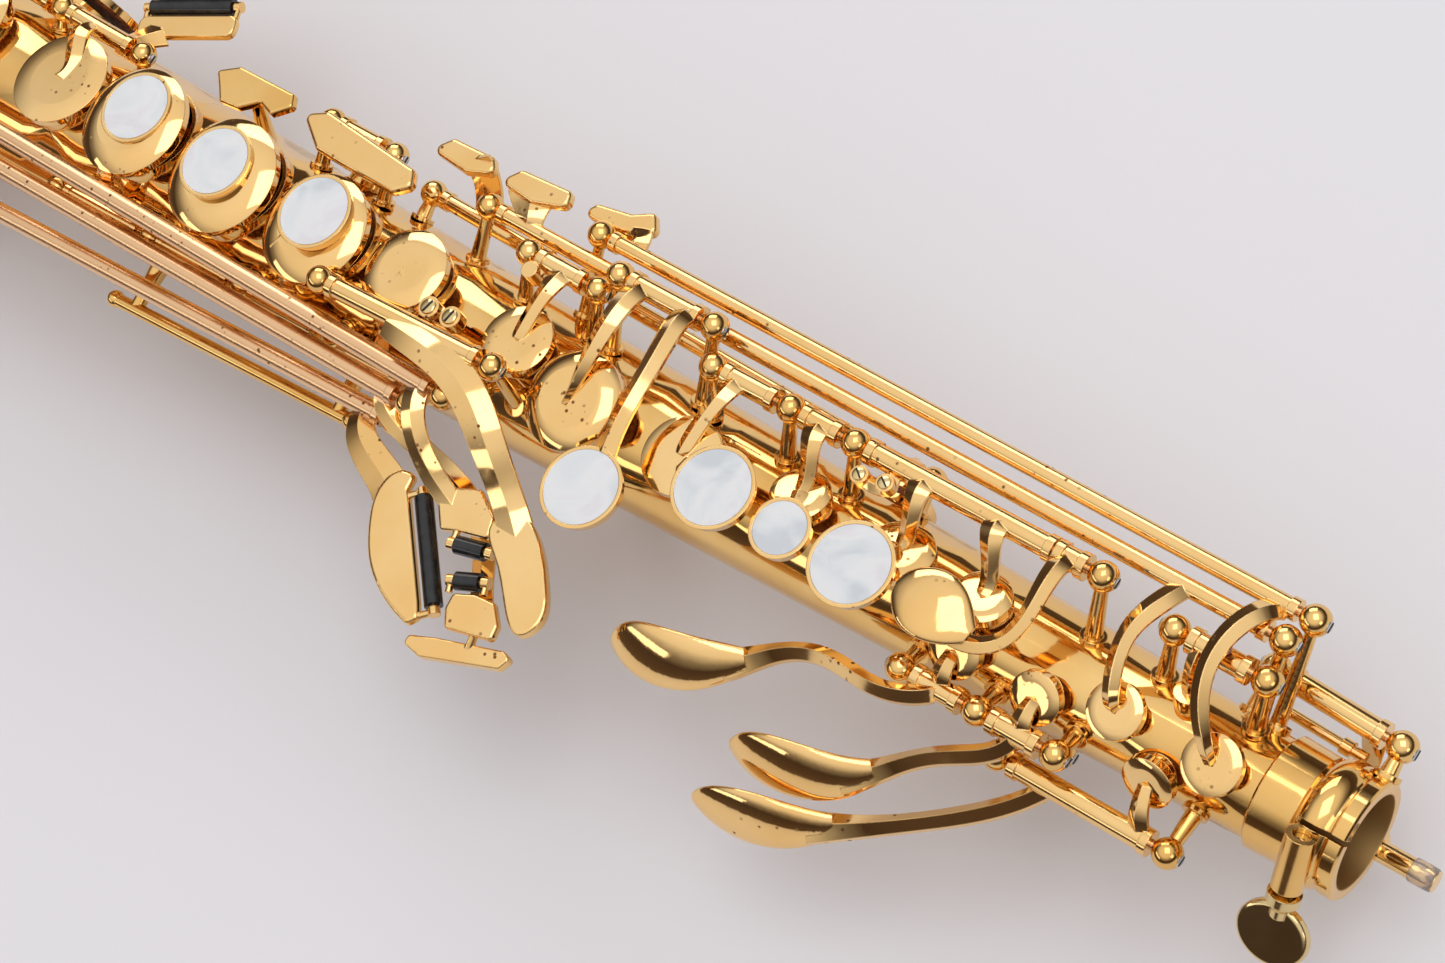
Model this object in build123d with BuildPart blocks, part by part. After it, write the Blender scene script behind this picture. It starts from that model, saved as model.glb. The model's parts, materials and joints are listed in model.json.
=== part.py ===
"""Soprano saxophone body with its full keywork, ready to take a neck and mouthpiece.

The origin is the centre of the neck socket's mouth.  +X points out of the socket along the bore,
+Z is the way the finger pearls face and +Y is the player's right.  A place on the tube is given by
x (negative towards the bell), phi (degrees from +Z towards +Y) and the rise above the tube wall.
"""
import os
from collections import namedtuple
from math import cos, radians, sin

from build123d import *

os.makedirs("parts", exist_ok=True)

Hole = namedtuple("Hole", "x phi radius")
Hinge = namedtuple("Hinge", "left right")

# ---------------------------------------------------------------- driving dimensions, millimetres
SOCKET_RADIUS = 8.7           # bore that takes the neck tenon
SOCKET_DEPTH = 17.0
LIP_RADIUS = 10.9
CLAMP_BAND_RADIUS = 11.4
SLEEVE_WALL = 1.1             # receiver wall over the tube
SLIT_WIDTH = 0.9

TUBE_MOUTH_RADIUS = 8.7       # outside of the cone, carried on to x = 0
TUBE_TAPER = 0.0335
TUBE_WALL = 1.0
TUBE_END = -445.0             # where the bell begins
BELL_END = -560.0
BELL_RIM_RADIUS = 46.0
BELL_WALL = 1.2
RIM_BEAD = 1.7

CHIMNEY_WALL = 0.9
CHIMNEY_RISE = 0.9            # top of a tone hole chimney above the crown of the tube
SEAT_GAP = 0.12               # closed pad above its chimney
PAD_MARGIN = 0.6              # pad past the chimney
PAD_DEPTH = 2.0
PAD_PROUD = 0.5               # pad below the cup's rim
PAD_FIT = 0.03
CUP_WALL = 0.6
CUP_ROOF = 0.7
CUP_DOME = 1.2

ROD_RADIUS = 0.9              # steel hinge rods
RUNNING_FIT = 0.05
HINGE_TUBE_RADIUS = 2.1
LONG_TUBE_RADIUS = 1.65
LOW_TUBE_RADIUS = 2.0         # the three long tubes beside the right hand
BALL_RADIUS = 2.75
BALL_GAP = 0.35               # hinge tube to post ball
POST_TOP_RADIUS = 1.15
POST_BASE_RADIUS = 1.65
LEAN_SLIMMING = 0.88          # a post that leans past other tubes is thinner
POST_FOOT_RADIUS = 2.4
POST_FOOT_HEIGHT = 0.7

PEARL_RADIUS = 7.2
SMALL_PEARL_RADIUS = 5.0
PEARL_DEPTH = 1.3
PEARL_CROWN = 0.25
BEZEL_WALL = 0.8
BEZEL_FLOOR = 1.0
PEARL_FIT = 0.03

ROLLER_RADIUS = 1.8
ROLLER_PIN_RADIUS = 0.6
TOUCH_THICKNESS = 1.6
ARM_THICKNESS = 1.6
OPENING_SWING = 8.0           # degrees that an open key stands up


# ---------------------------------------------------------------- places
def out(phi):
    """Unit vector pointing away from the bore at phi."""
    return Vector(0, sin(radians(phi)), cos(radians(phi)))


def tube_radius(x):
    return TUBE_MOUTH_RADIUS - TUBE_TAPER * x


def at(x, phi, rise):
    return Vector(x, 0, 0) + out(phi) * (tube_radius(x) + rise)


def on(hinge, x):
    """Point of a hinge line at x."""
    left = Vector(*hinge.left)
    right = Vector(*hinge.right)
    return left + (right - left) * ((x - left.X) / (right.X - left.X))


def line_axis(hinge):
    return Axis(hinge.left, Vector(*hinge.right) - Vector(*hinge.left))


def swung(point, hinge, angle):
    """A point turned about a hinge line."""
    axis = line_axis(hinge)
    return axis.position + (point - axis.position).rotate(Axis((0, 0, 0), axis.direction), angle)


def seat(hole, hinge=None, swing=0.0):
    """Plane of a pad's underside, closed, or swung open about its hinge."""
    origin = at(hole.x, hole.phi, CHIMNEY_RISE + SEAT_GAP)
    above = origin + out(hole.phi)
    if hinge is not None:
        origin = swung(origin, hinge, swing)
        above = swung(above, hinge, swing)
    return Plane(origin=origin, x_dir=(1, 0, 0), z_dir=above - origin)


def roof(plane, along=0.0, across=0.0, rise=PAD_DEPTH + CUP_ROOF):
    """Point over a pad seat, measured in the seat's own directions."""
    return plane.origin + plane.x_dir * along + plane.y_dir * across + plane.z_dir * rise


def pad_radius(hole):
    return hole.radius + CHIMNEY_WALL + PAD_MARGIN


def cup_radius(hole):
    return pad_radius(hole) + PAD_FIT + CUP_WALL


# ---------------------------------------------------------------- shapes added to the active part
def bar(start, end, radius, end_radius=None):
    """Round or tapered bar between two points."""
    start = Vector(*start)
    reach = Vector(*end) - start
    with Locations(Plane(origin=start + reach * 0.5, z_dir=reach)):
        if end_radius is None:
            Cylinder(radius, reach.length)
        else:
            Cone(radius, end_radius, reach.length)


def drill(start, end, radius):
    start = Vector(*start)
    reach = Vector(*end) - start
    with Locations(Plane(origin=start + reach * 0.5, z_dir=reach)):
        Cylinder(radius, reach.length, mode=Mode.SUBTRACT)


def ball(centre, radius, along=(1, 0, 0)):
    with Locations(Plane(origin=centre, z_dir=along)):
        Sphere(radius)


def arm(points, widths, thickness=ARM_THICKNESS, up=(0, 0, 1)):
    """Strap lofted through flat ridged sections, one at each point."""
    points = [Vector(*point) for point in points]
    sections = []
    for index, point in enumerate(points):
        before = points[max(index - 1, 0)]
        after = points[min(index + 1, len(points) - 1)]
        along = (after - before).normalized()
        side = along.cross(Vector(*up)).normalized()
        half = widths[index] / 2
        with BuildSketch(Plane(origin=point, x_dir=side, z_dir=along)) as section:
            with BuildLine():
                Polyline(
                    (-half, thickness / 2),
                    (half, thickness / 2),
                    (half, 0.1 * thickness),
                    (0, -thickness / 2),
                    (-half, 0.1 * thickness),
                    close=True,
                )
            make_face()
        sections.append(section.sketch)
    loft(sections)


def hinge_tube(hinge, left, right, radius=HINGE_TUBE_RADIUS):
    bar(on(hinge, left), on(hinge, right), radius)
    for end, inward in ((left, 1), (right, -1)):
        bar(on(hinge, end), on(hinge, end + inward * 1.6), radius + 0.35)


def hinge_bore(hinge, left, right):
    drill(on(hinge, left - 1), on(hinge, right + 1), ROD_RADIUS + RUNNING_FIT)


def cup(plane, hole, dome=0.0):
    """Pad cup, hollow underneath, over a pad seat."""
    rim = cup_radius(hole)
    inner = pad_radius(hole) + PAD_FIT
    shoulder = PAD_DEPTH + 0.2
    top = PAD_DEPTH + CUP_ROOF + dome
    profile = Plane(origin=plane.origin, x_dir=plane.x_dir, z_dir=-plane.y_dir)
    with BuildSketch(profile) as half:
        with BuildLine():
            Polyline((0, top), (0, PAD_DEPTH), (inner, PAD_DEPTH), (inner, PAD_PROUD))
            Polyline((inner, PAD_PROUD), (rim, PAD_PROUD), (rim, shoulder))
            ThreePointArc((rim, shoulder), (0.86 * rim, 0.45 * shoulder + 0.55 * top), (0.62 * rim, top))
            Line((0.62 * rim, top), (0, top))
        make_face()
    revolve(half.sketch, axis=Axis(plane.origin, plane.z_dir))


def cup_hollow(plane, hole):
    """Clears the pad's space after the arms have joined the cup."""
    drill(plane.origin - plane.z_dir * 0.5, plane.origin + plane.z_dir * PAD_DEPTH,
          pad_radius(hole) + PAD_FIT)


def pad(plane, hole):
    """Leather pad with its round resonator."""
    radius = pad_radius(hole)
    profile = Plane(origin=plane.origin, x_dir=plane.x_dir, z_dir=-plane.y_dir)
    with BuildSketch(profile) as half:
        with BuildLine():
            Polyline((0, PAD_DEPTH), (0, -0.3), (0.42 * hole.radius, -0.2), (0.42 * hole.radius, 0))
            Polyline((0.42 * hole.radius, 0), (radius - 0.5, 0))
            ThreePointArc((radius - 0.5, 0), (radius - 0.15, 0.15), (radius, 0.5))
            Polyline((radius, 0.5), (radius, PAD_DEPTH), (0, PAD_DEPTH))
        make_face()
    revolve(half.sketch, axis=Axis(plane.origin, plane.z_dir))


def bezel(top, radius, stem):
    """Ring that holds a pearl, on a short stem; top is the middle of the pearl's face."""
    floor = top - Vector(0, 0, PEARL_DEPTH + PEARL_CROWN)
    under = floor - Vector(0, 0, BEZEL_FLOOR)
    outer = radius + BEZEL_WALL
    bar(under, under + Vector(0, 0, BEZEL_FLOOR + PEARL_DEPTH), 0.93 * outer, outer)
    bar(under - Vector(0, 0, stem), under + Vector(0, 0, 0.2), 0.55 * outer)


def bezel_recess(top, radius):
    floor = top - Vector(0, 0, PEARL_DEPTH + PEARL_CROWN)
    drill(floor, floor + Vector(0, 0, 2 * PEARL_DEPTH), radius + PEARL_FIT)


def pearl(top, radius):
    """Disc with a slightly crowned face."""
    floor = top - Vector(0, 0, PEARL_DEPTH + PEARL_CROWN)
    bar(floor, top, radius)
    crown_radius = (radius**2 + PEARL_CROWN**2) / (2 * PEARL_CROWN)
    with Locations(top - Vector(0, 0, crown_radius)):
        Sphere(crown_radius, mode=Mode.INTERSECT)


def eased(outline, thickness, easing):
    """Prism over a flat outline with its upper edge rounded off."""
    block = extrude(outline, amount=thickness, mode=Mode.PRIVATE).solid()
    add(block.fillet(easing, block.edges().group_by(Axis.Z)[-1]))


def plate(corners, top, thickness=TOUCH_THICKNESS, rounding=1.2, belly=(), easing=0.5):
    """Flat touch with rounded corners, closed by a curve through belly; top is its upper face."""
    with BuildSketch(Plane.XY.offset(top - thickness)) as outline:
        with BuildLine():
            Polyline(*corners, close=not belly)
            if belly:
                Spline(corners[-1], *belly, corners[0])
        make_face()
        fillet(outline.vertices(), rounding)
    eased(outline.sketch, thickness, easing)


def leaf(points, top, thickness=TOUCH_THICKNESS, easing=0.6):
    """Flat touch with one smooth outline through its points."""
    with BuildSketch(Plane.XY.offset(top - thickness)) as outline:
        with BuildLine():
            Spline(*points, periodic=True)
        make_face()
    eased(outline.sketch, thickness, easing)


def spoon(points, widths, heights, up=(0, 0, 1)):
    """Curved palm touch or teardrop: rounded sections lofted along its length, facing up."""
    points = [Vector(*point) for point in points]
    sections = []
    for index, point in enumerate(points):
        before = points[max(index - 1, 0)]
        after = points[min(index + 1, len(points) - 1)]
        along = (after - before).normalized()
        side = along.cross(Vector(*up)).normalized()
        with BuildSketch(Plane(origin=point, x_dir=side, z_dir=along)) as section:
            Ellipse(widths[index] / 2, heights[index] / 2)
        sections.append(section.sketch)
    loft(sections)


def finish(builder, name):
    builder.part.label = name
    export_step(builder.part, f"parts/{name}.step")


# ---------------------------------------------------------------- tone holes
HOLES = {
    "high_f_sharp": Hole(-24.5, -15.0, 3.1),
    "high_e": Hole(-43.0, -15.0, 2.9),
    "palm_f": Hole(-33.5, -54.0, 2.7),
    "palm_eb": Hole(-56.5, -36.0, 2.7),
    "palm_d": Hole(-73.0, -34.0, 2.9),
    "c_vent": Hole(-72.5, 10.0, 3.2),
    "b": Hole(-89.7, 9.0, 4.2),
    "bis": Hole(-111.5, 9.0, 3.4),
    "a": Hole(-134.9, -8.5, 5.6),
    "g": Hole(-160.0, -11.5, 7.6),
    "g_sharp": Hole(-178.6, 4.0, 5.0),
    "f_sharp": Hole(-206.8, 10.0, 6.4),
    "f": Hole(-229.9, 4.5, 9.4),
    "e": Hole(-255.8, 4.5, 10.2),
    "d": Hole(-282.2, 6.5, 9.8),
    "low_eb": Hole(-307.0, 5.0, 8.6),
    "low_c": Hole(-335.0, 98.0, 10.4),
    "low_c_sharp": Hole(-341.0, 8.0, 9.6),
    "low_b": Hole(-374.0, -125.0, 11.6),
    "low_b_flat": Hole(-411.0, -112.0, 12.4),
    "side_c": Hole(-104.0, 112.0, 4.0),
    "f_sharp_trill": Hole(-241.0, 84.0, 3.6),
    "octave": Hole(-34.0, 22.0, 0.9),
}

# ---------------------------------------------------------------- hinge lines, left end first
STACK = Hinge((-141.0, 14.0, 19.6), (-52.0, 14.0, 19.4))
G_LINE = Hinge((-167.0, 20.4, 21.5), (-140.0, 20.2, 21.5))
G_SHARP_LINE = Hinge((-189.0, 16.9, 18.4), (-167.0, 16.7, 18.4))
HIGH_E_LINE = Hinge((-205.0, 21.9, 15.3), (-24.0, 19.6, 16.0))
HIGH_F_SHARP_LINE = Hinge((-180.0, 26.9, 16.0), (-19.0, 24.8, 16.0))
LEVER_LINE = Hinge((-220.5, -8.4, 25.2), (-172.6, -6.6, 25.0))
LOWER_STACK = Hinge((-299.0, -16.8, 14.1), (-194.0, -14.2, 11.9))
C_SHARP_LINE = Hinge((-356.0, -13.9, 23.5), (-181.0, -15.1, 20.1))
B_LINE = Hinge((-392.0, -20.6, 20.6), (-190.0, -18.9, 16.0))
B_FLAT_LINE = Hinge((-430.0, -31.6, 10.2), (-195.0, -22.3, 8.2))
RIGHT_PINKY = Hinge((-351.0, 16.8, 18.8), (-294.5, 15.6, 17.3))
SIDE_C_LINE = Hinge((-225.0, 21.0, 6.4), (-95.0, 17.4, 5.0))
TRILL_LINE = Hinge((-250.0, 22.6, 14.0), (-228.0, 22.3, 14.0))
PALM_LINE = Hinge((-83.0, -14.6, 8.8), (-47.0, -14.2, 8.6))
PALM_F_LINE = Hinge((-62.0, -18.3, 2.4), (-24.0, -18.0, 2.2))
THUMB_LINE = Hinge((-82.0, -10.8, -12.6), (-54.0, -10.2, -12.0))
OCTAVE_LINE = Hinge((-29.0, 17.4, 4.0), (0.0, 15.7, 4.0))
VENT_LINE = Hinge((-43.0, 12.6, 15.6), (-21.0, 12.4, 15.4))


def span(left_post, right_post):
    """Ends of the hinge tube that runs between two posts."""
    clear = BALL_RADIUS + BALL_GAP
    return left_post + clear, right_post - clear


# posts as (hinge, x of each ball, phi of the foot, or None for straight below the ball)
POSTS = (
    (STACK, (-139.0, -121.0, -106.5, -54.6), None),
    (G_LINE, (-165.2, -142.4), None),
    (G_SHARP_LINE, (-187.0, -169.4), None),
    (HIGH_E_LINE, (-203.0, -23.8), None),
    (HIGH_F_SHARP_LINE, (-177.6, -21.4), 70.0),
    (LEVER_LINE, (-218.6,), None),
    (LEVER_LINE, (-174.6,), -35.0),
    (LOWER_STACK, (-297.0, -269.2, -243.0, -217.8, -196.5), None),
    (C_SHARP_LINE, (-354.0, -183.2), None),
    (B_LINE, (-390.0, -191.8), None),
    (B_FLAT_LINE, (-428.0, -197.4), None),
    (RIGHT_PINKY, (-348.8, -322.0, -296.6), None),
    (SIDE_C_LINE, (-222.8, -97.2), None),
    (TRILL_LINE, (-248.0, -230.0), None),
    (PALM_LINE, (-81.0, -65.0, -49.0), None),
    (PALM_F_LINE, (-60.0, -26.0), None),
    (THUMB_LINE, (-80.0, -56.0), None),
    (VENT_LINE, (-40.6, -22.9), None),
)

FRONT_F_TUBE = (-63.8, span(-106.5, -54.6)[1])
B_TUBE = (span(-106.5, -54.6)[0], -64.2)
BIS_TUBE = span(-121.0, -106.5)
A_TUBE = span(-139.0, -121.0)
G_TUBE = span(-165.2, -142.4)
G_SHARP_TUBE = span(-187.0, -169.4)
HIGH_E_TUBE = span(-203.0, -23.8)
HIGH_F_SHARP_TUBE = span(-177.6, -21.4)
LEVER_TUBE = span(-218.6, -174.6)
F_SHARP_TUBE = span(-217.8, -196.5)
F_TUBE = span(-243.0, -217.8)
E_TUBE = span(-269.2, -243.0)
D_TUBE = span(-297.0, -269.2)
C_SHARP_TUBE = span(-354.0, -183.2)
B_LOW_TUBE = span(-390.0, -191.8)
B_FLAT_TUBE = span(-428.0, -197.4)
LOW_C_TUBE = span(-348.8, -322.0)
EB_TUBE = span(-322.0, -296.6)
SIDE_C_TUBE = span(-222.8, -97.2)
TRILL_TUBE = span(-248.0, -230.0)
PALM_D_TUBE = span(-81.0, -65.0)
PALM_EB_TUBE = span(-65.0, -49.0)
PALM_F_TUBE = span(-60.0, -26.0)
THUMB_TUBE = span(-80.0, -56.0)
VENT_TUBE = span(-40.6, -22.9)
OCTAVE_POSTS = (-26.6, -2.0)
OCTAVE_TUBE = span(*OCTAVE_POSTS)

# ---------------------------------------------------------------- body tube with its chimneys
with BuildPart() as body_tube:
    with BuildSketch(Plane.XZ) as cone_outline:
        with BuildLine():
            Polyline(
                (-SOCKET_DEPTH, 0),
                (-SOCKET_DEPTH, tube_radius(-SOCKET_DEPTH)),
                (TUBE_END, tube_radius(TUBE_END)),
                (TUBE_END, 0),
                close=True,
            )
        make_face()
    revolve(cone_outline.sketch, axis=Axis.X)
    for hole in HOLES.values():
        bar(Vector(hole.x, 0, 0), at(hole.x, hole.phi, CHIMNEY_RISE), hole.radius + CHIMNEY_WALL)
    with BuildSketch(Plane.XZ) as bore_outline:
        with BuildLine():
            Polyline(
                (1, 0),
                (1, tube_radius(1) - TUBE_WALL),
                (TUBE_END - 1, tube_radius(TUBE_END - 1) - TUBE_WALL),
                (TUBE_END - 1, 0),
                close=True,
            )
        make_face()
    revolve(bore_outline.sketch, axis=Axis.X, mode=Mode.SUBTRACT)
    for hole in HOLES.values():
        drill(Vector(hole.x, 0, 0), at(hole.x, hole.phi, 2 * CHIMNEY_RISE), hole.radius)
finish(body_tube, "body_tube")

# ---------------------------------------------------------------- neck receiver with its split clamp
SLIT_PHI = -20.0
SLIT_LENGTH = 8.6
GROOVE_X = -9.2
CLAMP_PHI = -49.0             # where the clamp screw passes the band
CLAMP_SCREW_X = -6.2
CLAMP_SCREW_RADIUS = 1.5
CLAMP_BOSS_RADIUS = 2.7
CLAMP_BOSS_ENDS = (-5.0, 6.0)
clamp_middle = Vector(CLAMP_SCREW_X, 0, 0) + out(CLAMP_PHI) * (CLAMP_BAND_RADIUS + 0.6)
clamp_away = -out(CLAMP_PHI + 90)


def receiver_blank(inner):
    """Outline of the receiver down to a radius, turned about the bore."""
    with BuildSketch(Plane.XZ) as receiver_outline:
        with BuildLine():
            Polyline((0, inner), (0, LIP_RADIUS - 0.4), (-0.4, LIP_RADIUS), (-2.6, LIP_RADIUS))
            Polyline((-2.6, LIP_RADIUS), (-3.0, LIP_RADIUS - 0.5), (-3.4, LIP_RADIUS - 0.5))
            ThreePointArc(
                (-3.4, LIP_RADIUS - 0.5),
                (-6.2, CLAMP_BAND_RADIUS),
                (GROOVE_X + 0.4, LIP_RADIUS - 0.6),
            )
            Polyline(
                (GROOVE_X + 0.4, LIP_RADIUS - 0.6),
                (GROOVE_X, tube_radius(GROOVE_X) + 0.5),
                (GROOVE_X - 0.4, tube_radius(GROOVE_X) + SLEEVE_WALL),
                (-SOCKET_DEPTH + 0.4, tube_radius(-SOCKET_DEPTH) + SLEEVE_WALL),
                (-SOCKET_DEPTH, tube_radius(-SOCKET_DEPTH) + SLEEVE_WALL - 0.4),
                (-SOCKET_DEPTH, inner),
                (0, inner),
            )
        make_face()
    return receiver_outline.sketch


with BuildPart() as neck_receiver:
    revolve(receiver_blank(SOCKET_RADIUS), axis=Axis.X)
    boss_start, boss_end = (clamp_middle + clamp_away * reach for reach in CLAMP_BOSS_ENDS)
    bar(boss_start, boss_end, CLAMP_BOSS_RADIUS)
    bar(boss_end, boss_end + clamp_away * 0.9, CLAMP_BOSS_RADIUS, CLAMP_BOSS_RADIUS - 0.7)
    drill(Vector(1, 0, 0), Vector(-SOCKET_DEPTH, 0, 0), SOCKET_RADIUS)
    slit_plane = Plane(origin=(0, 0, 0), x_dir=(1, 0, 0), z_dir=-out(SLIT_PHI + 90))
    with BuildSketch(slit_plane.offset(-SLIT_WIDTH / 2)) as slit_outline:
        with Locations((1 - SLIT_LENGTH / 2, 2 * LIP_RADIUS - 4)):
            Rectangle(SLIT_LENGTH + 2, 2 * LIP_RADIUS)
    extrude(slit_outline.sketch, amount=SLIT_WIDTH, mode=Mode.SUBTRACT)
    drill(
        boss_start - clamp_away * 2,
        boss_end + clamp_away * 2,
        CLAMP_SCREW_RADIUS + RUNNING_FIT,
    )
finish(neck_receiver, "neck_receiver")

COLLAR_START = CLAMP_BOSS_ENDS[1] + 1.2
COLLAR_RADIUS = 2.9
PADDLE_REACH = COLLAR_START + 8.8
PADDLE_HALF = (6.5, 5.7)
PADDLE_THICKNESS = 2.2
paddle_face = out(CLAMP_PHI + 8)
with BuildPart() as clamp_screw:
    paddle_plane = Plane(
        origin=clamp_middle + clamp_away * PADDLE_REACH + paddle_face * (PADDLE_THICKNESS / 2),
        x_dir=(1, 0, 0),
        z_dir=paddle_face,
    )
    with BuildSketch(paddle_plane.offset(-PADDLE_THICKNESS)) as paddle_outline:
        Ellipse(*PADDLE_HALF)
    extrude(paddle_outline.sketch, amount=PADDLE_THICKNESS)
    fillet(clamp_screw.edges(), 0.7)
    collar_middle = clamp_middle + clamp_away * (COLLAR_START + 0.9)
    bar(boss_start + clamp_away, clamp_middle + clamp_away * (COLLAR_START + 5.0), CLAMP_SCREW_RADIUS)
    bar(collar_middle - clamp_away * 0.9, collar_middle + clamp_away * 0.9, COLLAR_RADIUS)
    bar(collar_middle + clamp_away * 0.9, collar_middle + clamp_away * 2.4, COLLAR_RADIUS - 0.4, 1.7)
finish(clamp_screw, "clamp_screw")

# ---------------------------------------------------------------- bell
with BuildPart() as bell:
    start_radius = tube_radius(TUBE_END)
    with BuildSketch(Plane.XZ) as bell_outline:
        with BuildLine():
            Line((TUBE_END, start_radius), (TUBE_END, start_radius - TUBE_WALL))
            Spline(
                (TUBE_END, start_radius - TUBE_WALL),
                (-500.0, start_radius + 1.2),
                (-535.0, start_radius + 7.0),
                (BELL_END, BELL_RIM_RADIUS - BELL_WALL - 0.2),
            )
            Line((BELL_END, BELL_RIM_RADIUS - BELL_WALL - 0.2), (BELL_END, BELL_RIM_RADIUS))
            Line((BELL_END, BELL_RIM_RADIUS), (BELL_END + 1.4, BELL_RIM_RADIUS - 0.6))
            Spline(
                (BELL_END + 1.4, BELL_RIM_RADIUS - 0.6),
                (-535.0, start_radius + 7.0 + BELL_WALL),
                (-500.0, start_radius + 1.2 + BELL_WALL),
                (TUBE_END, start_radius),
            )
        make_face()
    revolve(bell_outline.sketch, axis=Axis.X)
    with Locations(Location((BELL_END + RIM_BEAD / 2, 0, 0), (0, 90, 0))):
        Torus(BELL_RIM_RADIUS - RIM_BEAD, RIM_BEAD)
    ring_inner = tube_radius(TUBE_END)
    with BuildSketch(Plane.XZ) as ring_outline:
        with BuildLine():
            Polyline(
                (TUBE_END + 5, tube_radius(TUBE_END + 5)),
                (TUBE_END + 5, ring_inner + 1.0),
                (TUBE_END + 3.5, ring_inner + 1.9),
                (TUBE_END + 1.5, ring_inner + 1.3),
                (TUBE_END - 0.5, ring_inner + 2.1),
                (TUBE_END - 2.4, ring_inner + 1.1),
                (TUBE_END - 2.4, ring_inner + 0.45),
                (TUBE_END - 0.2, ring_inner - 0.5),
                (TUBE_END, ring_inner),
                close=True,
            )
        make_face()
    revolve(ring_outline.sketch, axis=Axis.X)
finish(bell, "bell")


# ---------------------------------------------------------------- posts and hinge rods
def clear_tube(left, right):
    """Takes the body tube's space out of a piece that is soldered to it."""
    with BuildSketch(Plane.XZ) as tube_core:
        with BuildLine():
            Polyline((left, 0), (left, tube_radius(left)), (right, tube_radius(right)),
                     (right, 0), close=True)
        make_face()
    revolve(tube_core.sketch, axis=Axis.X, mode=Mode.SUBTRACT)


def post(hinge, x, foot_phi, ground):
    """Ball on a tapered stem, bored for the hinge rod; ground is the radius under its foot."""
    centre = on(hinge, x)
    radial = Vector(0, centre.Y, centre.Z).normalized()
    slimming = 1.0
    if foot_phi is not None:
        radial = out(foot_phi)
        slimming = LEAN_SLIMMING
    foot = Vector(x, 0, 0) + radial * (ground - 0.4)
    bar(foot, Vector(x, 0, 0) + radial * (ground + POST_FOOT_HEIGHT), POST_FOOT_RADIUS)
    bar(foot, centre, slimming * POST_BASE_RADIUS, slimming * POST_TOP_RADIUS)
    ball(centre, BALL_RADIUS, line_axis(hinge).direction)
    drill(on(hinge, x - 4), on(hinge, x + 4), ROD_RADIUS)


post_solids = []
for hinge, places, foot_phi in POSTS:
    for x in places:
        with BuildPart() as tube_post:
            post(hinge, x, foot_phi, tube_radius(x))
            clear_tube(x - 6, x + 6)
        post_solids.append(tube_post.part)
for x, ground in zip(OCTAVE_POSTS, (tube_radius(min(OCTAVE_POSTS)), LIP_RADIUS)):
    with BuildPart() as receiver_post:
        post(OCTAVE_LINE, x, None, ground)
        clear_tube(-34, -SOCKET_DEPTH)
        revolve(receiver_blank(1.0), axis=Axis.X, mode=Mode.SUBTRACT)
    post_solids.append(receiver_post.part)
with BuildPart() as key_posts:
    add(post_solids)
finish(key_posts, "key_posts")

with BuildPart() as pivot_rods:
    for hinge in dict.fromkeys(hinge for hinge, places, foot_phi in POSTS):
        places = [x for line, xs, foot_phi in POSTS for x in xs if line == hinge]
        bar(on(hinge, min(places) - 2.2), on(hinge, max(places) + 2.2), ROD_RADIUS)
    bar(on(OCTAVE_LINE, min(OCTAVE_POSTS) - 2.2), on(OCTAVE_LINE, max(OCTAVE_POSTS) + 2.2), ROD_RADIUS)
finish(pivot_rods, "pivot_rods")


# ---------------------------------------------------------------- upper stack keys
def over_cup(hinge, x, plane, width=3.4, toward=0.0):
    """Arm from a hinge tube up and over to the middle of a cup."""
    root = on(hinge, x)
    top = roof(plane, along=toward)
    middle = (root + top) * 0.5 + Vector(0, 0, 1.9)
    arm(
        [root + Vector(0, 0, 0.6), root + Vector(0, -2.4, 2.0), middle, top + Vector(0, 1.5, 0.3), top],
        [width + 1.6, width + 1.2, width, width - 0.4, width - 1.0],
    )


OPEN_S = -OPENING_SWING
b_seat = seat(HOLES["b"], STACK, OPEN_S)
c_vent_seat = seat(HOLES["c_vent"], STACK, OPEN_S)
bis_seat = seat(HOLES["bis"], STACK, OPEN_S)
a_seat = seat(HOLES["a"], STACK, OPEN_S)
B_PEARL = Vector(-93.0, -5.4, 22.9)
BIS_PEARL = Vector(-109.2, -5.7, 20.9)
A_PEARL = Vector(-123.6, -5.6, 22.9)
G_PEARL = Vector(-144.7, -17.5, 25.0)
ADJUSTERS = (Vector(-102.0, 9.2, 18.4), Vector(-97.0, 10.0, 18.4))
ADJUSTER_RADIUS = 1.7
ADJUSTER_DEPTH = 2.6

with BuildPart() as b_key:
    hinge_tube(STACK, *B_TUBE)
    cup(b_seat, HOLES["b"])
    cup(c_vent_seat, HOLES["c_vent"])
    over_cup(STACK, -90.8, b_seat)
    over_cup(STACK, -75.0, c_vent_seat, toward=0.0)
    bezel(B_PEARL, PEARL_RADIUS, 0.6)
    arm(
        [roof(b_seat), B_PEARL + Vector(1.5, 3.6, -3.0), B_PEARL + Vector(0, 0, -2.9)],
        [4.0, 5.0, 6.0],
        1.8,
    )
    for place in ADJUSTERS:
        bar(place, place + Vector(0, 0, ADJUSTER_DEPTH), ADJUSTER_RADIUS)
    arm([on(STACK, -98.6) + Vector(0, 0, 0.4), ADJUSTERS[1] + Vector(0, 0, 1.2), ADJUSTERS[0] + Vector(0,
        0, 1.2)],
        [4.4, 3.2, 2.6], 1.5)
    bezel_recess(B_PEARL, PEARL_RADIUS)
    cup_hollow(b_seat, HOLES["b"])
    cup_hollow(c_vent_seat, HOLES["c_vent"])
    hinge_bore(STACK, *B_TUBE)
finish(b_key, "b_key")

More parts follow.
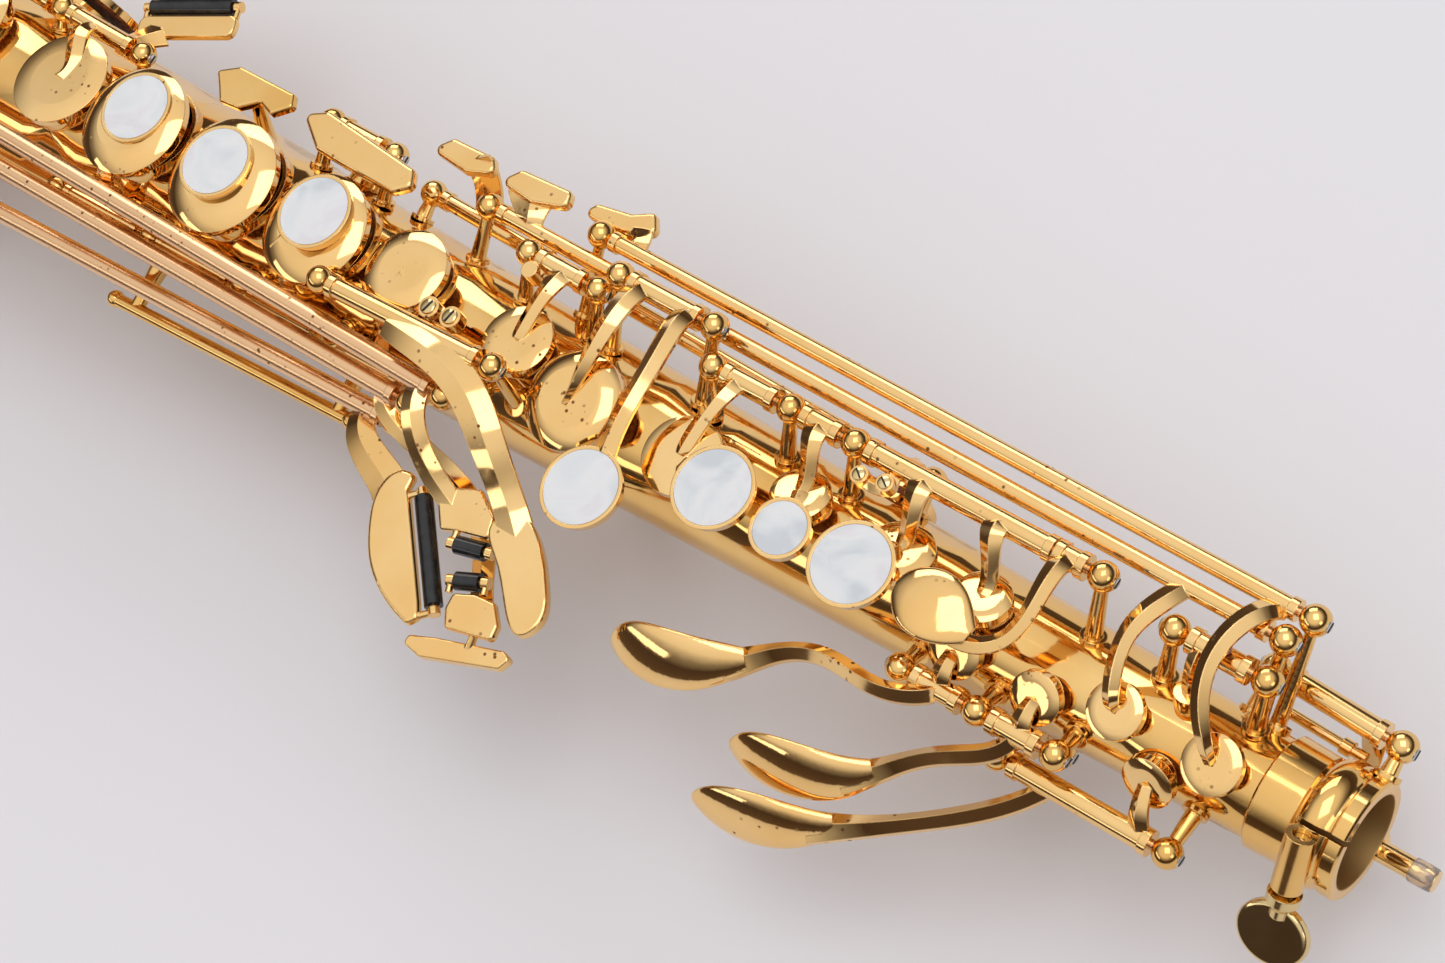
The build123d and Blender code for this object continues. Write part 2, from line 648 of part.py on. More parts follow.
with BuildPart() as bis_key:
    hinge_tube(STACK, *BIS_TUBE)
    cup(bis_seat, HOLES["bis"])
    over_cup(STACK, -113.6, bis_seat)
    bezel(BIS_PEARL, SMALL_PEARL_RADIUS, 0.4)
    arm(
        [roof(bis_seat), BIS_PEARL + Vector(-1.0, 3.6, -2.6), BIS_PEARL + Vector(0, 0, -2.6)],
        [3.6, 4.2, 4.6],
        1.6,
    )
    bezel_recess(BIS_PEARL, SMALL_PEARL_RADIUS)
    cup_hollow(bis_seat, HOLES["bis"])
    hinge_bore(STACK, *BIS_TUBE)
    pad(bis_seat, HOLES["bis"])
finish(bis_key, "bis_key")

with BuildPart() as a_key:
    hinge_tube(STACK, *A_TUBE)
    cup(a_seat, HOLES["a"])
    over_cup(STACK, -133.0, a_seat)
    bezel(A_PEARL, PEARL_RADIUS, 0.6)
    arm(
        [roof(a_seat, along=2.0), A_PEARL + Vector(-6.0, 1.0, -3.0), A_PEARL + Vector(0, 0, -2.9)],
        [6.0, 6.0, 6.0],
        1.8,
    )
    bezel_recess(A_PEARL, PEARL_RADIUS)
    cup_hollow(a_seat, HOLES["a"])
    hinge_bore(STACK, *A_TUBE)
finish(a_key, "a_key")

with BuildPart() as front_f_key:
    hinge_tube(STACK, *FRONT_F_TUBE)
    arm(
        [(-61.6, 14.0, 20.2), (-61.4, 11.0, 22.4), (-61.2, 3.0, 22.6), (-62.6, -3.4, 21.6),
         (-68.6, -7.4, 21.8),
         (-73.0, -6.6, 22.6)],
        [4.6, 4.0, 3.2, 3.0, 3.2, 3.6],
    )
    spoon(
        [(-83.2, -5.4, 23.6), (-81.0, -5.0, 23.7), (-76.5, -4.9, 23.9), (-71.5, -5.6, 23.5),
         (-67.6, -6.2, 22.6)],
        [3.4, 9.2, 12.4, 10.0, 3.8],
        [1.0, 2.2, 2.8, 2.4, 1.2],
    )
    hinge_bore(STACK, *FRONT_F_TUBE)
finish(front_f_key, "front_f_key")

# ---------------------------------------------------------------- G and G sharp
OPEN_G = -5.6
g_seat = seat(HOLES["g"], G_LINE, OPEN_G)
with BuildPart() as g_key:
    hinge_tube(G_LINE, *G_TUBE)
    cup(g_seat, HOLES["g"], CUP_DOME)
    g_top = roof(g_seat, rise=PAD_DEPTH + CUP_ROOF + CUP_DOME)
    arm(
        [(-159.4, 20.4, 22.2), (-159.5, 17.0, 24.4), (-159.7, 8.0, 24.6),
         (-159.9, 1.0, 22.9), g_top + Vector(0, -1.5, 0)],
        [5.2, 4.8, 3.8, 2.6, 1.2],
        2.0,
    )
    arm(
        [(-148.0, 20.3, 22.2), (-147.6, 17.0, 25.0), (-146.0, 6.0, 26.4), (-145.4, -5.0, 25.6),
         (-145.0, -12.0, 23.4),
         G_PEARL + Vector(0, 0, -2.7)],
        [5.0, 4.6, 4.0, 4.0, 5.0, 6.5],
        1.9,
    )
    bezel(G_PEARL, PEARL_RADIUS, 0.5)
    bezel_recess(G_PEARL, PEARL_RADIUS)
    cup_hollow(g_seat, HOLES["g"])
    hinge_bore(G_LINE, *G_TUBE)
finish(g_key, "g_key")

g_sharp_seat = seat(HOLES["g_sharp"])
with BuildPart() as g_sharp_cup_key:
    hinge_tube(G_SHARP_LINE, *G_SHARP_TUBE)
    cup(g_sharp_seat, HOLES["g_sharp"])
    over_cup(G_SHARP_LINE, -177.5, g_sharp_seat)
    bar((-183.6, 13.6, 16.6), (-183.6, 13.6, 20.6), 1.7)
    arm([(-182.6, 16.8, 18.6), (-183.0, 15.0, 19.0), (-183.6, 13.6, 18.6)], [3.2, 3.0, 3.0])
    cup_hollow(g_sharp_seat, HOLES["g_sharp"])
    hinge_bore(G_SHARP_LINE, *G_SHARP_TUBE)
    pad(g_sharp_seat, HOLES["g_sharp"])
finish(g_sharp_cup_key, "g_sharp_cup_key")

with BuildPart() as g_sharp_touch_key:
    hinge_tube(LEVER_LINE, *LEVER_TUBE)
    arm(
        [(-199.0, -9.2, 26.2), (-193.0, -9.6, 27.0), (-186.0, -10.2, 27.0), (-179.0, -11.8, 26.4),
         (-172.6, -15.2, 25.0),
         (-167.6, -19.4, 22.0), (-164.0, -23.0, 18.0), (-160.0, -27.0, 14.4), (-157.0, -30.0, 12.8)],
        [5.6, 6.6, 7.0, 7.2, 7.2, 6.8, 6.4, 6.6, 7.0],
        1.8,
    )
    leaf(
        [(-162.6, -28.6), (-158.8, -25.8), (-152.0, -28.6), (-145.6, -34.8), (-142.6, -41.2),
         (-144.6, -44.8),
         (-151.0, -41.6), (-158.4, -35.2)],
        13.8,
        2.0,
    )
    hinge_bore(LEVER_LINE, *LEVER_TUBE)
finish(g_sharp_touch_key, "g_sharp_touch_key")


# ---------------------------------------------------------------- lower stack
def side_arm(hinge, plane, hole, width=4.6):
    """Arm from a hinge tube beside a cup into the cup's wall, passing under the long rods."""
    root = on(hinge, hole.x)
    beside = roof(plane, across=-cup_radius(hole) - 1.1, rise=-0.5)
    wall = roof(plane, across=-cup_radius(hole) + 0.3, rise=0.9)
    arm([root, (root + beside) * 0.5 + Vector(0, 0.4, -0.3), beside, wall], [width + 1, width, width,
        width - 0.6], 1.4)


OPEN_H = OPENING_SWING
RH_PEARLS = {
    "f": Vector(-229.1, 2.6, 26.0),
    "e": Vector(-256.7, 1.8, 26.0),
    "d": Vector(-281.8, 3.6, 26.2),
}
RH_TUBES = {"f": F_TUBE, "e": E_TUBE, "d": D_TUBE}
for note, top in RH_PEARLS.items():
    hole = HOLES[note]
    plane = seat(hole, LOWER_STACK, OPEN_H)
    tube = RH_TUBES[note]
    with BuildPart() as stack_key:
        hinge_tube(LOWER_STACK, *tube)
        cup(plane, hole, CUP_DOME)
        side_arm(LOWER_STACK, plane, hole)
        bezel(top, PEARL_RADIUS, 1.6)
        arm(
            [top + Vector(-3.0, -3.5, -2.2), roof(plane, along=-5.6, across=-7.4, rise=PAD_DEPTH + 0.8)],
            [5.0, 2.6],
            1.6,
        )
        bezel_recess(top, PEARL_RADIUS)
        cup_hollow(plane, hole)
        hinge_bore(LOWER_STACK, *tube)
    finish(stack_key, f"{note}_key")
    with BuildPart() as stack_pad:
        pad(plane, hole)
    finish(stack_pad, f"{note}_pad")
    with BuildPart() as stack_pearl:
        pearl(top, PEARL_RADIUS)
    finish(stack_pearl, f"{note}_pearl")

STACK_ADJUSTERS = (Vector(-196.8, -2.1, 18.9), Vector(-191.4, -1.8, 18.9))
f_sharp_seat = seat(HOLES["f_sharp"], LOWER_STACK, OPEN_H)
with BuildPart() as f_sharp_cup_key:
    hinge_tube(LOWER_STACK, *F_SHARP_TUBE)
    cup(f_sharp_seat, HOLES["f_sharp"], 0.4)
    side_arm(LOWER_STACK, f_sharp_seat, HOLES["f_sharp"])
    for place in STACK_ADJUSTERS:
        bar(place, place + Vector(0, 0, 2.8), 2.2)
    arm([roof(f_sharp_seat, across=-1.0), STACK_ADJUSTERS[0] + Vector(0, 0, 1.2),
         STACK_ADJUSTERS[1] + Vector(0, 0, 1.2)],
        [5.0, 3.6, 3.2], 1.5)
    cup_hollow(f_sharp_seat, HOLES["f_sharp"])
    hinge_bore(LOWER_STACK, *F_SHARP_TUBE)
finish(f_sharp_cup_key, "f_sharp_cup_key")

OPEN_PADS = {
    "b": (b_seat, HOLES["b"]),
    "a": (a_seat, HOLES["a"]),
    "g": (g_seat, HOLES["g"]),
    "f_sharp": (f_sharp_seat, HOLES["f_sharp"]),
}
for note, (plane, hole) in OPEN_PADS.items():
    with BuildPart() as open_pad:
        pad(plane, hole)
        if note == "b":
            pad(c_vent_seat, HOLES["c_vent"])
    finish(open_pad, f"{note}_pad")

LH_PEARLS = {
    "b": (B_PEARL, PEARL_RADIUS),
    "bis": (BIS_PEARL, SMALL_PEARL_RADIUS),
    "a": (A_PEARL, PEARL_RADIUS),
    "g": (G_PEARL, PEARL_RADIUS),
}
for note, (top, radius) in LH_PEARLS.items():
    with BuildPart() as finger_pearl:
        pearl(top, radius)
    finish(finger_pearl, f"{note}_pearl")

# ---------------------------------------------------------------- side keys
high_e_seat = seat(HOLES["high_e"])
with BuildPart() as high_e_key:
    hinge_tube(HIGH_E_LINE, *HIGH_E_TUBE, LONG_TUBE_RADIUS)
    cup(high_e_seat, HOLES["high_e"])
    arm(
        [(-43.0, 19.8, 16.4), (-44.4, 15.0, 18.6), (-46.2, 8.0, 18.8), (-45.4, 2.0, 17.6),
         (-43.4, -3.0, 15.9),
         roof(high_e_seat)],
        [4.2, 4.0, 3.4, 3.0, 2.6, 2.0],
    )
    arm([(-192.6, 21.7, 15.8), (-193.0, 23.6, 17.2), (-194.0, 25.6, 17.2),
         (-195.0, 28.0, 17.6)], [5.4, 6.4, 8.6, 11.6], 1.6)
    plate([(-202.8, 26.4), (-199.6, 30.6), (-187.0, 31.2), (-185.8, 27.8),
           (-194.0, 25.4)], 18.8, 2.0, 1.4, easing=0.9)
    cup_hollow(high_e_seat, HOLES["high_e"])
    hinge_bore(HIGH_E_LINE, *HIGH_E_TUBE)
    pad(high_e_seat, HOLES["high_e"])
finish(high_e_key, "high_e_key")

high_f_sharp_seat = seat(HOLES["high_f_sharp"])
with BuildPart() as high_f_sharp_key:
    hinge_tube(HIGH_F_SHARP_LINE, *HIGH_F_SHARP_TUBE, LONG_TUBE_RADIUS)
    cup(high_f_sharp_seat, HOLES["high_f_sharp"])
    arm(
        [(-27.4, 23.9, 16.4), (-29.4, 20.4, 19.6), (-31.4, 13.0, 20.6), (-30.6, 6.0, 19.6),
         (-27.4, 0.0, 17.4),
         roof(high_f_sharp_seat)],
        [4.2, 4.0, 3.6, 3.2, 2.8, 2.0],
    )
    arm([(-170.0, 26.6, 16.2), (-170.4, 29.0, 15.8), (-172.4, 30.8, 14.4),
         (-175.0, 31.6, 14.0)], [5.0, 5.0, 6.0, 7.0], 1.6)
    plate([(-185.6, 29.2), (-183.6, 32.4), (-175.8, 33.6), (-171.4, 36.0), (-168.4, 32.0),
           (-176.0, 29.2)], 14.8, 2.0, 1.3,
          easing=0.9)
    cup_hollow(high_f_sharp_seat, HOLES["high_f_sharp"])
    hinge_bore(HIGH_F_SHARP_LINE, *HIGH_F_SHARP_TUBE)
    pad(high_f_sharp_seat, HOLES["high_f_sharp"])
finish(high_f_sharp_key, "high_f_sharp_key")

side_c_seat = seat(HOLES["side_c"])
with BuildPart() as side_c_key:
    hinge_tube(SIDE_C_LINE, *SIDE_C_TUBE, LONG_TUBE_RADIUS)
    cup(side_c_seat, HOLES["side_c"])
    side_c_root = on(SIDE_C_LINE, -104.0)
    arm(
        [side_c_root, side_c_root + Vector(0, 2.4, -3.4), roof(side_c_seat, rise=PAD_DEPTH + 0.8)],
        [4.2, 3.8, 3.0],
        1.5,
        up=(0, 1, 0),
    )
    arm([(-208.4, 20.5, 6.6), (-208.8, 24.8, 10.6), (-210.4, 27.4, 14.6),
         (-212.0, 28.0, 17.8)], [6.4, 7.6, 9.6, 12.0], 1.6,
        up=(0, -1, 0.4))
    plate([(-220.8, 25.8), (-217.2, 30.0), (-206.6, 30.2), (-204.0, 27.2),
           (-210.6, 24.8)], 18.8, 2.0, 1.4, easing=0.9)
    cup_hollow(side_c_seat, HOLES["side_c"])
    hinge_bore(SIDE_C_LINE, *SIDE_C_TUBE)
    pad(side_c_seat, HOLES["side_c"])
finish(side_c_key, "side_c_key")

trill_seat = seat(HOLES["f_sharp_trill"])
with BuildPart() as f_sharp_trill_key:
    hinge_tube(TRILL_LINE, *TRILL_TUBE)
    cup(trill_seat, HOLES["f_sharp_trill"])
    trill_root = on(TRILL_LINE, -241.0)
    arm(
        [trill_root, trill_root + Vector(0, 1.6, -4.0), roof(trill_seat, across=-1.2,
            rise=PAD_DEPTH + 0.6)],
        [4.4, 3.8, 3.0],
        1.5,
        up=(0, 1, 0),
    )
    arm([(-240.0, 22.4, 15.0), (-240.0, 21.0, 18.6), (-239.0, 18.6, 21.0)], [8.0, 9.0, 9.0], 1.5)
    plate([(-248.4, 19.4), (-243.0, 22.2), (-217.6, 19.8), (-215.6, 16.4), (-219.0, 13.6),
           (-232.7, 13.8), (-240.6, 14.2)],
          22.8, 2.0, 1.4, easing=0.9)
    cup_hollow(trill_seat, HOLES["f_sharp_trill"])
    hinge_bore(TRILL_LINE, *TRILL_TUBE)
    pad(trill_seat, HOLES["f_sharp_trill"])
finish(f_sharp_trill_key, "f_sharp_trill_key")

# ---------------------------------------------------------------- palm keys
PALM_SHAPES = {
    "palm_d": {
        "hinge": PALM_LINE,
        "tube": PALM_D_TUBE,
        "facing": -45.0,
        "neck": [(-73.0, -15.2, 9.6), (-78.0, -18.8, 11.4), (-86.0, -19.8, 11.2), (-94.0, -19.6, 9.8),
                 (-101.0, -21.8, 8.4),
                 (-107.0, -26.4, 7.4), (-111.0, -29.4, 7.0)],
        "touch": [(-107.0, -26.8, 7.6), (-112.6, -30.6, 7.6), (-121.6, -34.2, 7.4), (-128.6, -35.4, 6.8),
                  (-132.6, -36.0, 5.8)],
    },
    "palm_eb": {
        "hinge": PALM_LINE,
        "tube": PALM_EB_TUBE,
        "facing": -54.0,
        "neck": [(-57.0, -15.0, 8.4), (-60.0, -19.4, 7.8), (-66.0, -22.8, 6.4), (-72.0, -26.6, 4.6),
                 (-78.0, -32.2, 3.2),
                 (-82.0, -35.4, 2.8)],
        "touch": [(-77.0, -31.4, 3.4), (-82.0, -35.4, 3.2), (-90.6, -38.6, 3.0), (-98.6, -40.0, 2.4),
                  (-103.4, -40.4, 1.4)],
    },
    "palm_f": {
        "hinge": PALM_F_LINE,
        "tube": PALM_F_TUBE,
        "facing": -58.0,
        "neck": [(-50.0, -18.6, 1.4), (-54.6, -24.0, 0.0), (-62.0, -30.0, -2.0), (-71.0, -36.4, -3.2),
                 (-80.0, -42.2, -3.6),
                 (-85.0, -45.0, -3.6)],
        "touch": [(-80.6, -42.2, -3.4), (-86.0, -45.8, -3.4), (-93.8, -48.8, -3.4),
                  (-101.6, -50.6, -3.8), (-106.8, -51.4, -4.6)],
    },
}
NECK_WIDTH = 3.4
NECK_DEPTH = 3.2
for note, shape in PALM_SHAPES.items():
    hole = HOLES[note]
    plane = seat(hole)
    hinge = shape["hinge"]
    tube = shape["tube"]
    root = on(hinge, hole.x if note != "palm_f" else -31.5)
    with BuildPart() as palm_key:
        hinge_tube(hinge, *tube)
        cup(plane, hole)
        top = roof(plane)
        arm([root + Vector(0, 0, 0.4),
             (root + top) * 0.5 + out(hole.phi) * 1.4, top], [4.2, 3.6, 2.6], 1.5, up=out(hole.phi))
        arm(shape["neck"], [NECK_WIDTH] * (len(shape["neck"]) - 2) + [1.4 * NECK_WIDTH, 1.8 * NECK_WIDTH],
            NECK_DEPTH)
        spoon(shape["touch"], [4.4, 9.0, 12.0, 9.6, 2.6], [2.4, 3.2, 3.6, 2.8, 1.0],
              up=tuple(out(shape["facing"])))
        cup_hollow(plane, hole)
        hinge_bore(hinge, *tube)
        pad(plane, hole)
    finish(palm_key, f"{note}_key")

# ---------------------------------------------------------------- octave mechanism
with BuildPart() as octave_thumb_lever:
    hinge_tube(THUMB_LINE, *THUMB_TUBE)
    thumb_level = -tube_radius(-72.0) - 5.6
    arm([(-70.0, -10.6, -12.6), (-71.0, -7.0, -15.6), (-72.0, -2.0, thumb_level)], [9.0, 9.0, 10.0], 1.6)
    plate([(-82.0, -5.0), (-82.0, 5.0), (-74.0, 8.0), (-64.0, 6.6), (-62.0, 0.0),
           (-66.0, -5.0)], thumb_level + 0.8, 1.8)
    hinge_bore(THUMB_LINE, *THUMB_TUBE)
finish(octave_thumb_lever, "octave_thumb_lever")

PIN_RADIUS = 1.9
PIN_START = Vector(-1.8, 2.3, -13.6)
PIN_LENGTH = 11.4
TRACE_START = Vector(-25.0, 13.4, -3.0)
TRACE_END = Vector(-8.0, 12.7, -3.4)
with BuildPart() as octave_pin_lever:
    hinge_tube(OCTAVE_LINE, *OCTAVE_TUBE)
    arm(
        [(-7.6, 16.4, 4.6), (-7.8, 16.4, 0.0), (-7.6, 13.4, -6.6), (-5.6, 9.4, -12.6),
         (-2.6, 4.6, -14.6), (-1.0, 1.9, -13.8)],
        [4.6, 4.6, 4.4, 4.2, 4.0, 3.6],
        1.6,
        up=(0, 1, 1),
    )
    bar(PIN_START, PIN_START + Vector(PIN_LENGTH, 0, 0), PIN_RADIUS)
    bar(TRACE_START, TRACE_END, 1.0)
    bar(TRACE_END - Vector(4.6, -0.19, -0.1), TRACE_END - Vector(2.6, -0.11, -0.05), 1.5)
    hinge_bore(OCTAVE_LINE, *OCTAVE_TUBE)
finish(octave_pin_lever, "octave_pin_lever")

with BuildPart() as octave_vent_key:
    vent_plane = seat(HOLES["octave"])
    hinge_tube(VENT_LINE, *VENT_TUBE)
    bar(vent_plane.origin, vent_plane.origin + vent_plane.z_dir * 3.0, 2.5)
    arm([(-35.0, 12.5, 16.2), (-34.6, 9.6, 16.6), roof(vent_plane, rise=2.4)], [3.6, 3.2, 2.8], 1.4)
    hinge_bore(VENT_LINE, *VENT_TUBE)
finish(octave_vent_key, "octave_vent_key")


# ---------------------------------------------------------------- low keys
def roller(start, end):
    """Barrel with a bore for its pin."""
    start = Vector(*start)
    end = Vector(*end)
    bar(start, end, ROLLER_RADIUS)
    drill(start - (end - start), end + (end - start), ROLLER_PIN_RADIUS + RUNNING_FIT)


def roller_pin(start, end, toward):
    """Pin past both ends of a roller, with an ear at each end that reaches toward the touch."""
    start = Vector(*start)
    end = Vector(*end)
    along = (end - start).normalized()
    bar(start - along * 1.6, end + along * 1.6, ROLLER_PIN_RADIUS)
    for tip, way in ((start, -1), (end, 1)):
        middle = tip + along * way * 1.1
        bar(tip + along * way * 0.35, tip + along * way * 1.85, 1.2)
        bar(middle, middle + Vector(*toward), 0.7)


TABLE_TOP = 10.2              # upper face of the left little finger's touches
PAIR_TOP = 13.6               # upper face of the right little finger's two touches
PAIR_ROLLER_Z = 12.6
PAIR_ROLLER = (2.0, 22.0)     # where a roller starts and ends along its touch
PAIR_CORNER = (-305.6, 18.9)  # inner left corner of the two touches
PAIR_TURN = 23.7              # degrees from the bore's line
EB_DEPTH = 5.2
EB_ROLLER = EB_DEPTH + 0.5 + ROLLER_RADIUS
PAIR_GAP = 1.2                # between the two rollers
C_ROLLER = EB_ROLLER + 2 * ROLLER_RADIUS + PAIR_GAP
C_START = C_ROLLER + ROLLER_RADIUS + 0.5
C_DEPTH = 6.8
PAIR_LENGTH = 24.0


def pair(along, across):
    """Point of the right little finger's touches, measured from their inner left corner."""
    turned = Vector(along, across, 0).rotate(Axis.Z, PAIR_TURN)
    return (PAIR_CORNER[0] + turned.X, PAIR_CORNER[1] + turned.Y)


def pair_roller(across):
    """Both ends of a roller's barrel."""
    return tuple((*pair(along, across), PAIR_ROLLER_Z) for along in PAIR_ROLLER)


ROLLERS = {
    "low_b_flat": ((-181.6, -32.0, 9.2), (-166.0, -48.2, 9.2)),
    "low_b": ((-165.0, -42.0, 9.2), (-160.4, -40.0, 9.2)),
    "low_c_sharp": ((-169.4, -36.3, 9.2), (-163.4, -34.8, 9.2)),
    "low_eb": pair_roller(EB_ROLLER),
    "low_c": pair_roller(C_ROLLER),
}

low_b_flat_seat = seat(HOLES["low_b_flat"], B_FLAT_LINE, -7.0)
with BuildPart() as low_b_flat_key:
    hinge_tube(B_FLAT_LINE, *B_FLAT_TUBE, LOW_TUBE_RADIUS)
    cup(low_b_flat_seat, HOLES["low_b_flat"])
    b_flat_root = on(B_FLAT_LINE, -411.0)
    arm([b_flat_root, b_flat_root + Vector(0, -2.6, -5.0), roof(low_b_flat_seat)], [5.4, 5.0, 3.6], 1.8,
        up=(0, -1, 0))
    arm([(-205.0, -22.6, 8.4), (-203.0, -27.0, 9.2), (-196.0, -31.0, 9.3),
         (-189.0, -34.0, 9.3)], [5.6, 6.0, 7.0, 8.0], 1.5)
    plate(
        [(-185.4, -29.4), (-185.0, -32.3), (-169.0, -48.9), (-166.8, -51.6), (-168.4, -53.8)],
        TABLE_TOP,
        belly=[(-176.6, -51.6), (-183.2, -47.6), (-188.2, -41.6), (-190.8, -35.4), (-190.0, -30.8)],
        easing=0.8,
    )
    roller_pin(*ROLLERS["low_b_flat"], (-2.45, -2.36, 0))
    cup_hollow(low_b_flat_seat, HOLES["low_b_flat"])
    hinge_bore(B_FLAT_LINE, *B_FLAT_TUBE)
finish(low_b_flat_key, "low_b_flat_key")

low_b_seat = seat(HOLES["low_b"], B_LINE, -4.6)
with BuildPart() as low_b_key:
    hinge_tube(B_LINE, *B_LOW_TUBE, LOW_TUBE_RADIUS)
    cup(low_b_seat, HOLES["low_b"])
    b_root = on(B_LINE, -374.0)
    arm(
        [b_root, (-374.0, -24.2, 14.0), (-374.0, -26.4, 6.0), roof(low_b_seat, across=12.6, rise=1.4)],
        [5.4, 5.0, 4.6, 4.0],
        1.6,
        up=(0, -1, 0.3),
    )
    arm([(-198.0, -18.9, 16.4), (-196.0, -22.0, 14.6), (-190.0, -24.0, 12.2), (-182.0, -25.6, 5.6),
         (-174.0, -29.0, 2.6),
         (-167.0, -36.0, 2.2), (-160.6, -43.4, 4.2),
         (-157.6, -46.8, 8.8)], [4.6, 4.6, 4.4, 4.6, 4.8, 4.6, 4.8, 5.6], 1.5)
    plate([(-163.8, -44.3), (-159.6, -42.3), (-155.0, -41.8), (-151.6, -45.0), (-151.0, -48.0),
           (-161.2, -50.6),
           (-163.4, -47.4)], TABLE_TOP, rounding=0.9, easing=0.7)
    plate([(-168.0, -54.9), (-162.4, -52.6), (-149.0, -48.2), (-146.8, -48.8), (-147.9, -51.6),
           (-163.6, -57.4),
           (-168.0, -56.8)], TABLE_TOP - 2.2, 2.0, 0.8)
    bar((-155.6, -47.4, TABLE_TOP - 1.1), (-155.8, -51.6, TABLE_TOP - 3.1), 0.9)
    roller_pin(*ROLLERS["low_b"], (0.96, -2.2, 0))
    cup_hollow(low_b_seat, HOLES["low_b"])
    hinge_bore(B_LINE, *B_LOW_TUBE)
finish(low_b_key, "low_b_key")

low_c_sharp_seat = seat(HOLES["low_c_sharp"])
with BuildPart() as low_c_sharp_key:
    hinge_tube(C_SHARP_LINE, *C_SHARP_TUBE, LOW_TUBE_RADIUS)
    cup(low_c_sharp_seat, HOLES["low_c_sharp"])
    c_sharp_root = on(C_SHARP_LINE, -341.0)
    arm([c_sharp_root, c_sharp_root + Vector(0, 3.0, 2.0), roof(low_c_sharp_seat, across=-5.0),
         roof(low_c_sharp_seat)],
        [5.0, 4.6, 4.2, 3.4], 1.8)
    arm([(-189.0, -14.8, 20.4), (-188.0, -19.0, 20.6), (-184.6, -24.4, 17.6), (-179.6, -28.4, 12.4),
         (-174.6, -30.6, 9.4)],
        [5.0, 5.0, 4.6, 4.6, 4.4], 1.5)
    plate([(-180.4, -28.9), (-171.4, -25.2), (-165.4, -28.4), (-163.9, -32.4), (-170.4, -34.1),
           (-174.2, -35.6)],
          TABLE_TOP, rounding=0.9, easing=0.7)
    roller_pin(*ROLLERS["low_c_sharp"], (-0.6, 2.4, 0))
    cup_hollow(low_c_sharp_seat, HOLES["low_c_sharp"])
    hinge_bore(C_SHARP_LINE, *C_SHARP_TUBE)
    pad(low_c_sharp_seat, HOLES["low_c_sharp"])
finish(low_c_sharp_key, "low_c_sharp_key")

low_eb_seat = seat(HOLES["low_eb"])
with BuildPart() as low_eb_key:
    hinge_tube(RIGHT_PINKY, *EB_TUBE)
    cup(low_eb_seat, HOLES["low_eb"])
    eb_root = on(RIGHT_PINKY, -311.0)
    arm([eb_root + Vector(0, 0, 0.8), eb_root + Vector(0, -3.0, 4.0), roof(low_eb_seat, across=4.0),
         roof(low_eb_seat)],
        [5.0, 4.6, 4.0, 3.4], 1.8)
    arm([on(RIGHT_PINKY, -302.4), (-302.0, 18.6, 15.4), (-300.0, 22.6, 13.2)], [5.4, 5.4, 7.0], 1.6)
    plate([pair(0, 0), pair(PAIR_LENGTH, 0), pair(PAIR_LENGTH, EB_DEPTH), pair(0, EB_DEPTH)],
          PAIR_TOP, rounding=2.0)
    roller_pin(*ROLLERS["low_eb"], Vector(0, -3.4, 0).rotate(Axis.Z, PAIR_TURN))
    cup_hollow(low_eb_seat, HOLES["low_eb"])
    hinge_bore(RIGHT_PINKY, *EB_TUBE)
    pad(low_eb_seat, HOLES["low_eb"])
finish(low_eb_key, "low_eb_key")

low_c_seat = seat(HOLES["low_c"], RIGHT_PINKY, 6.4)
with BuildPart() as low_c_key:
    hinge_tube(RIGHT_PINKY, *LOW_C_TUBE)
    cup(low_c_seat, HOLES["low_c"])
    c_root = on(RIGHT_PINKY, -335.0)
    arm([c_root, c_root + Vector(0, 5.0, -2.0), c_root + Vector(0, 8.6, -9.0), roof(low_c_seat,
        rise=PAD_DEPTH + 0.9)],
        [5.2, 4.8, 4.4, 3.6], 1.8, up=(0, 1, 0.4))
    arm([on(RIGHT_PINKY, -328.0), (-326.0, 23.0, 17.4), (-318.0, 32.4, 14.6),
         (-308.0, 37.6, 12.8)], [5.2, 5.2, 5.6, 6.0], 1.6)
    plate([pair(0, C_START), pair(PAIR_LENGTH, C_START), pair(PAIR_LENGTH, C_START + C_DEPTH),
           pair(0, C_START + C_DEPTH)], PAIR_TOP, rounding=2.0)
    roller_pin(*ROLLERS["low_c"], Vector(0, 3.4, 0).rotate(Axis.Z, PAIR_TURN))
    cup_hollow(low_c_seat, HOLES["low_c"])
    hinge_bore(RIGHT_PINKY, *LOW_C_TUBE)
finish(low_c_key, "low_c_key")

LOW_PADS = {
    "low_b_flat": low_b_flat_seat,
    "low_b": low_b_seat,
    "low_c": low_c_seat,
}
for note, plane in LOW_PADS.items():
    with BuildPart() as low_pad:
        pad(plane, HOLES[note])
    finish(low_pad, f"{note}_pad")

for note, ends in ROLLERS.items():
    with BuildPart() as key_roller:
        roller(*ends)
    finish(key_roller, f"{note}_roller")

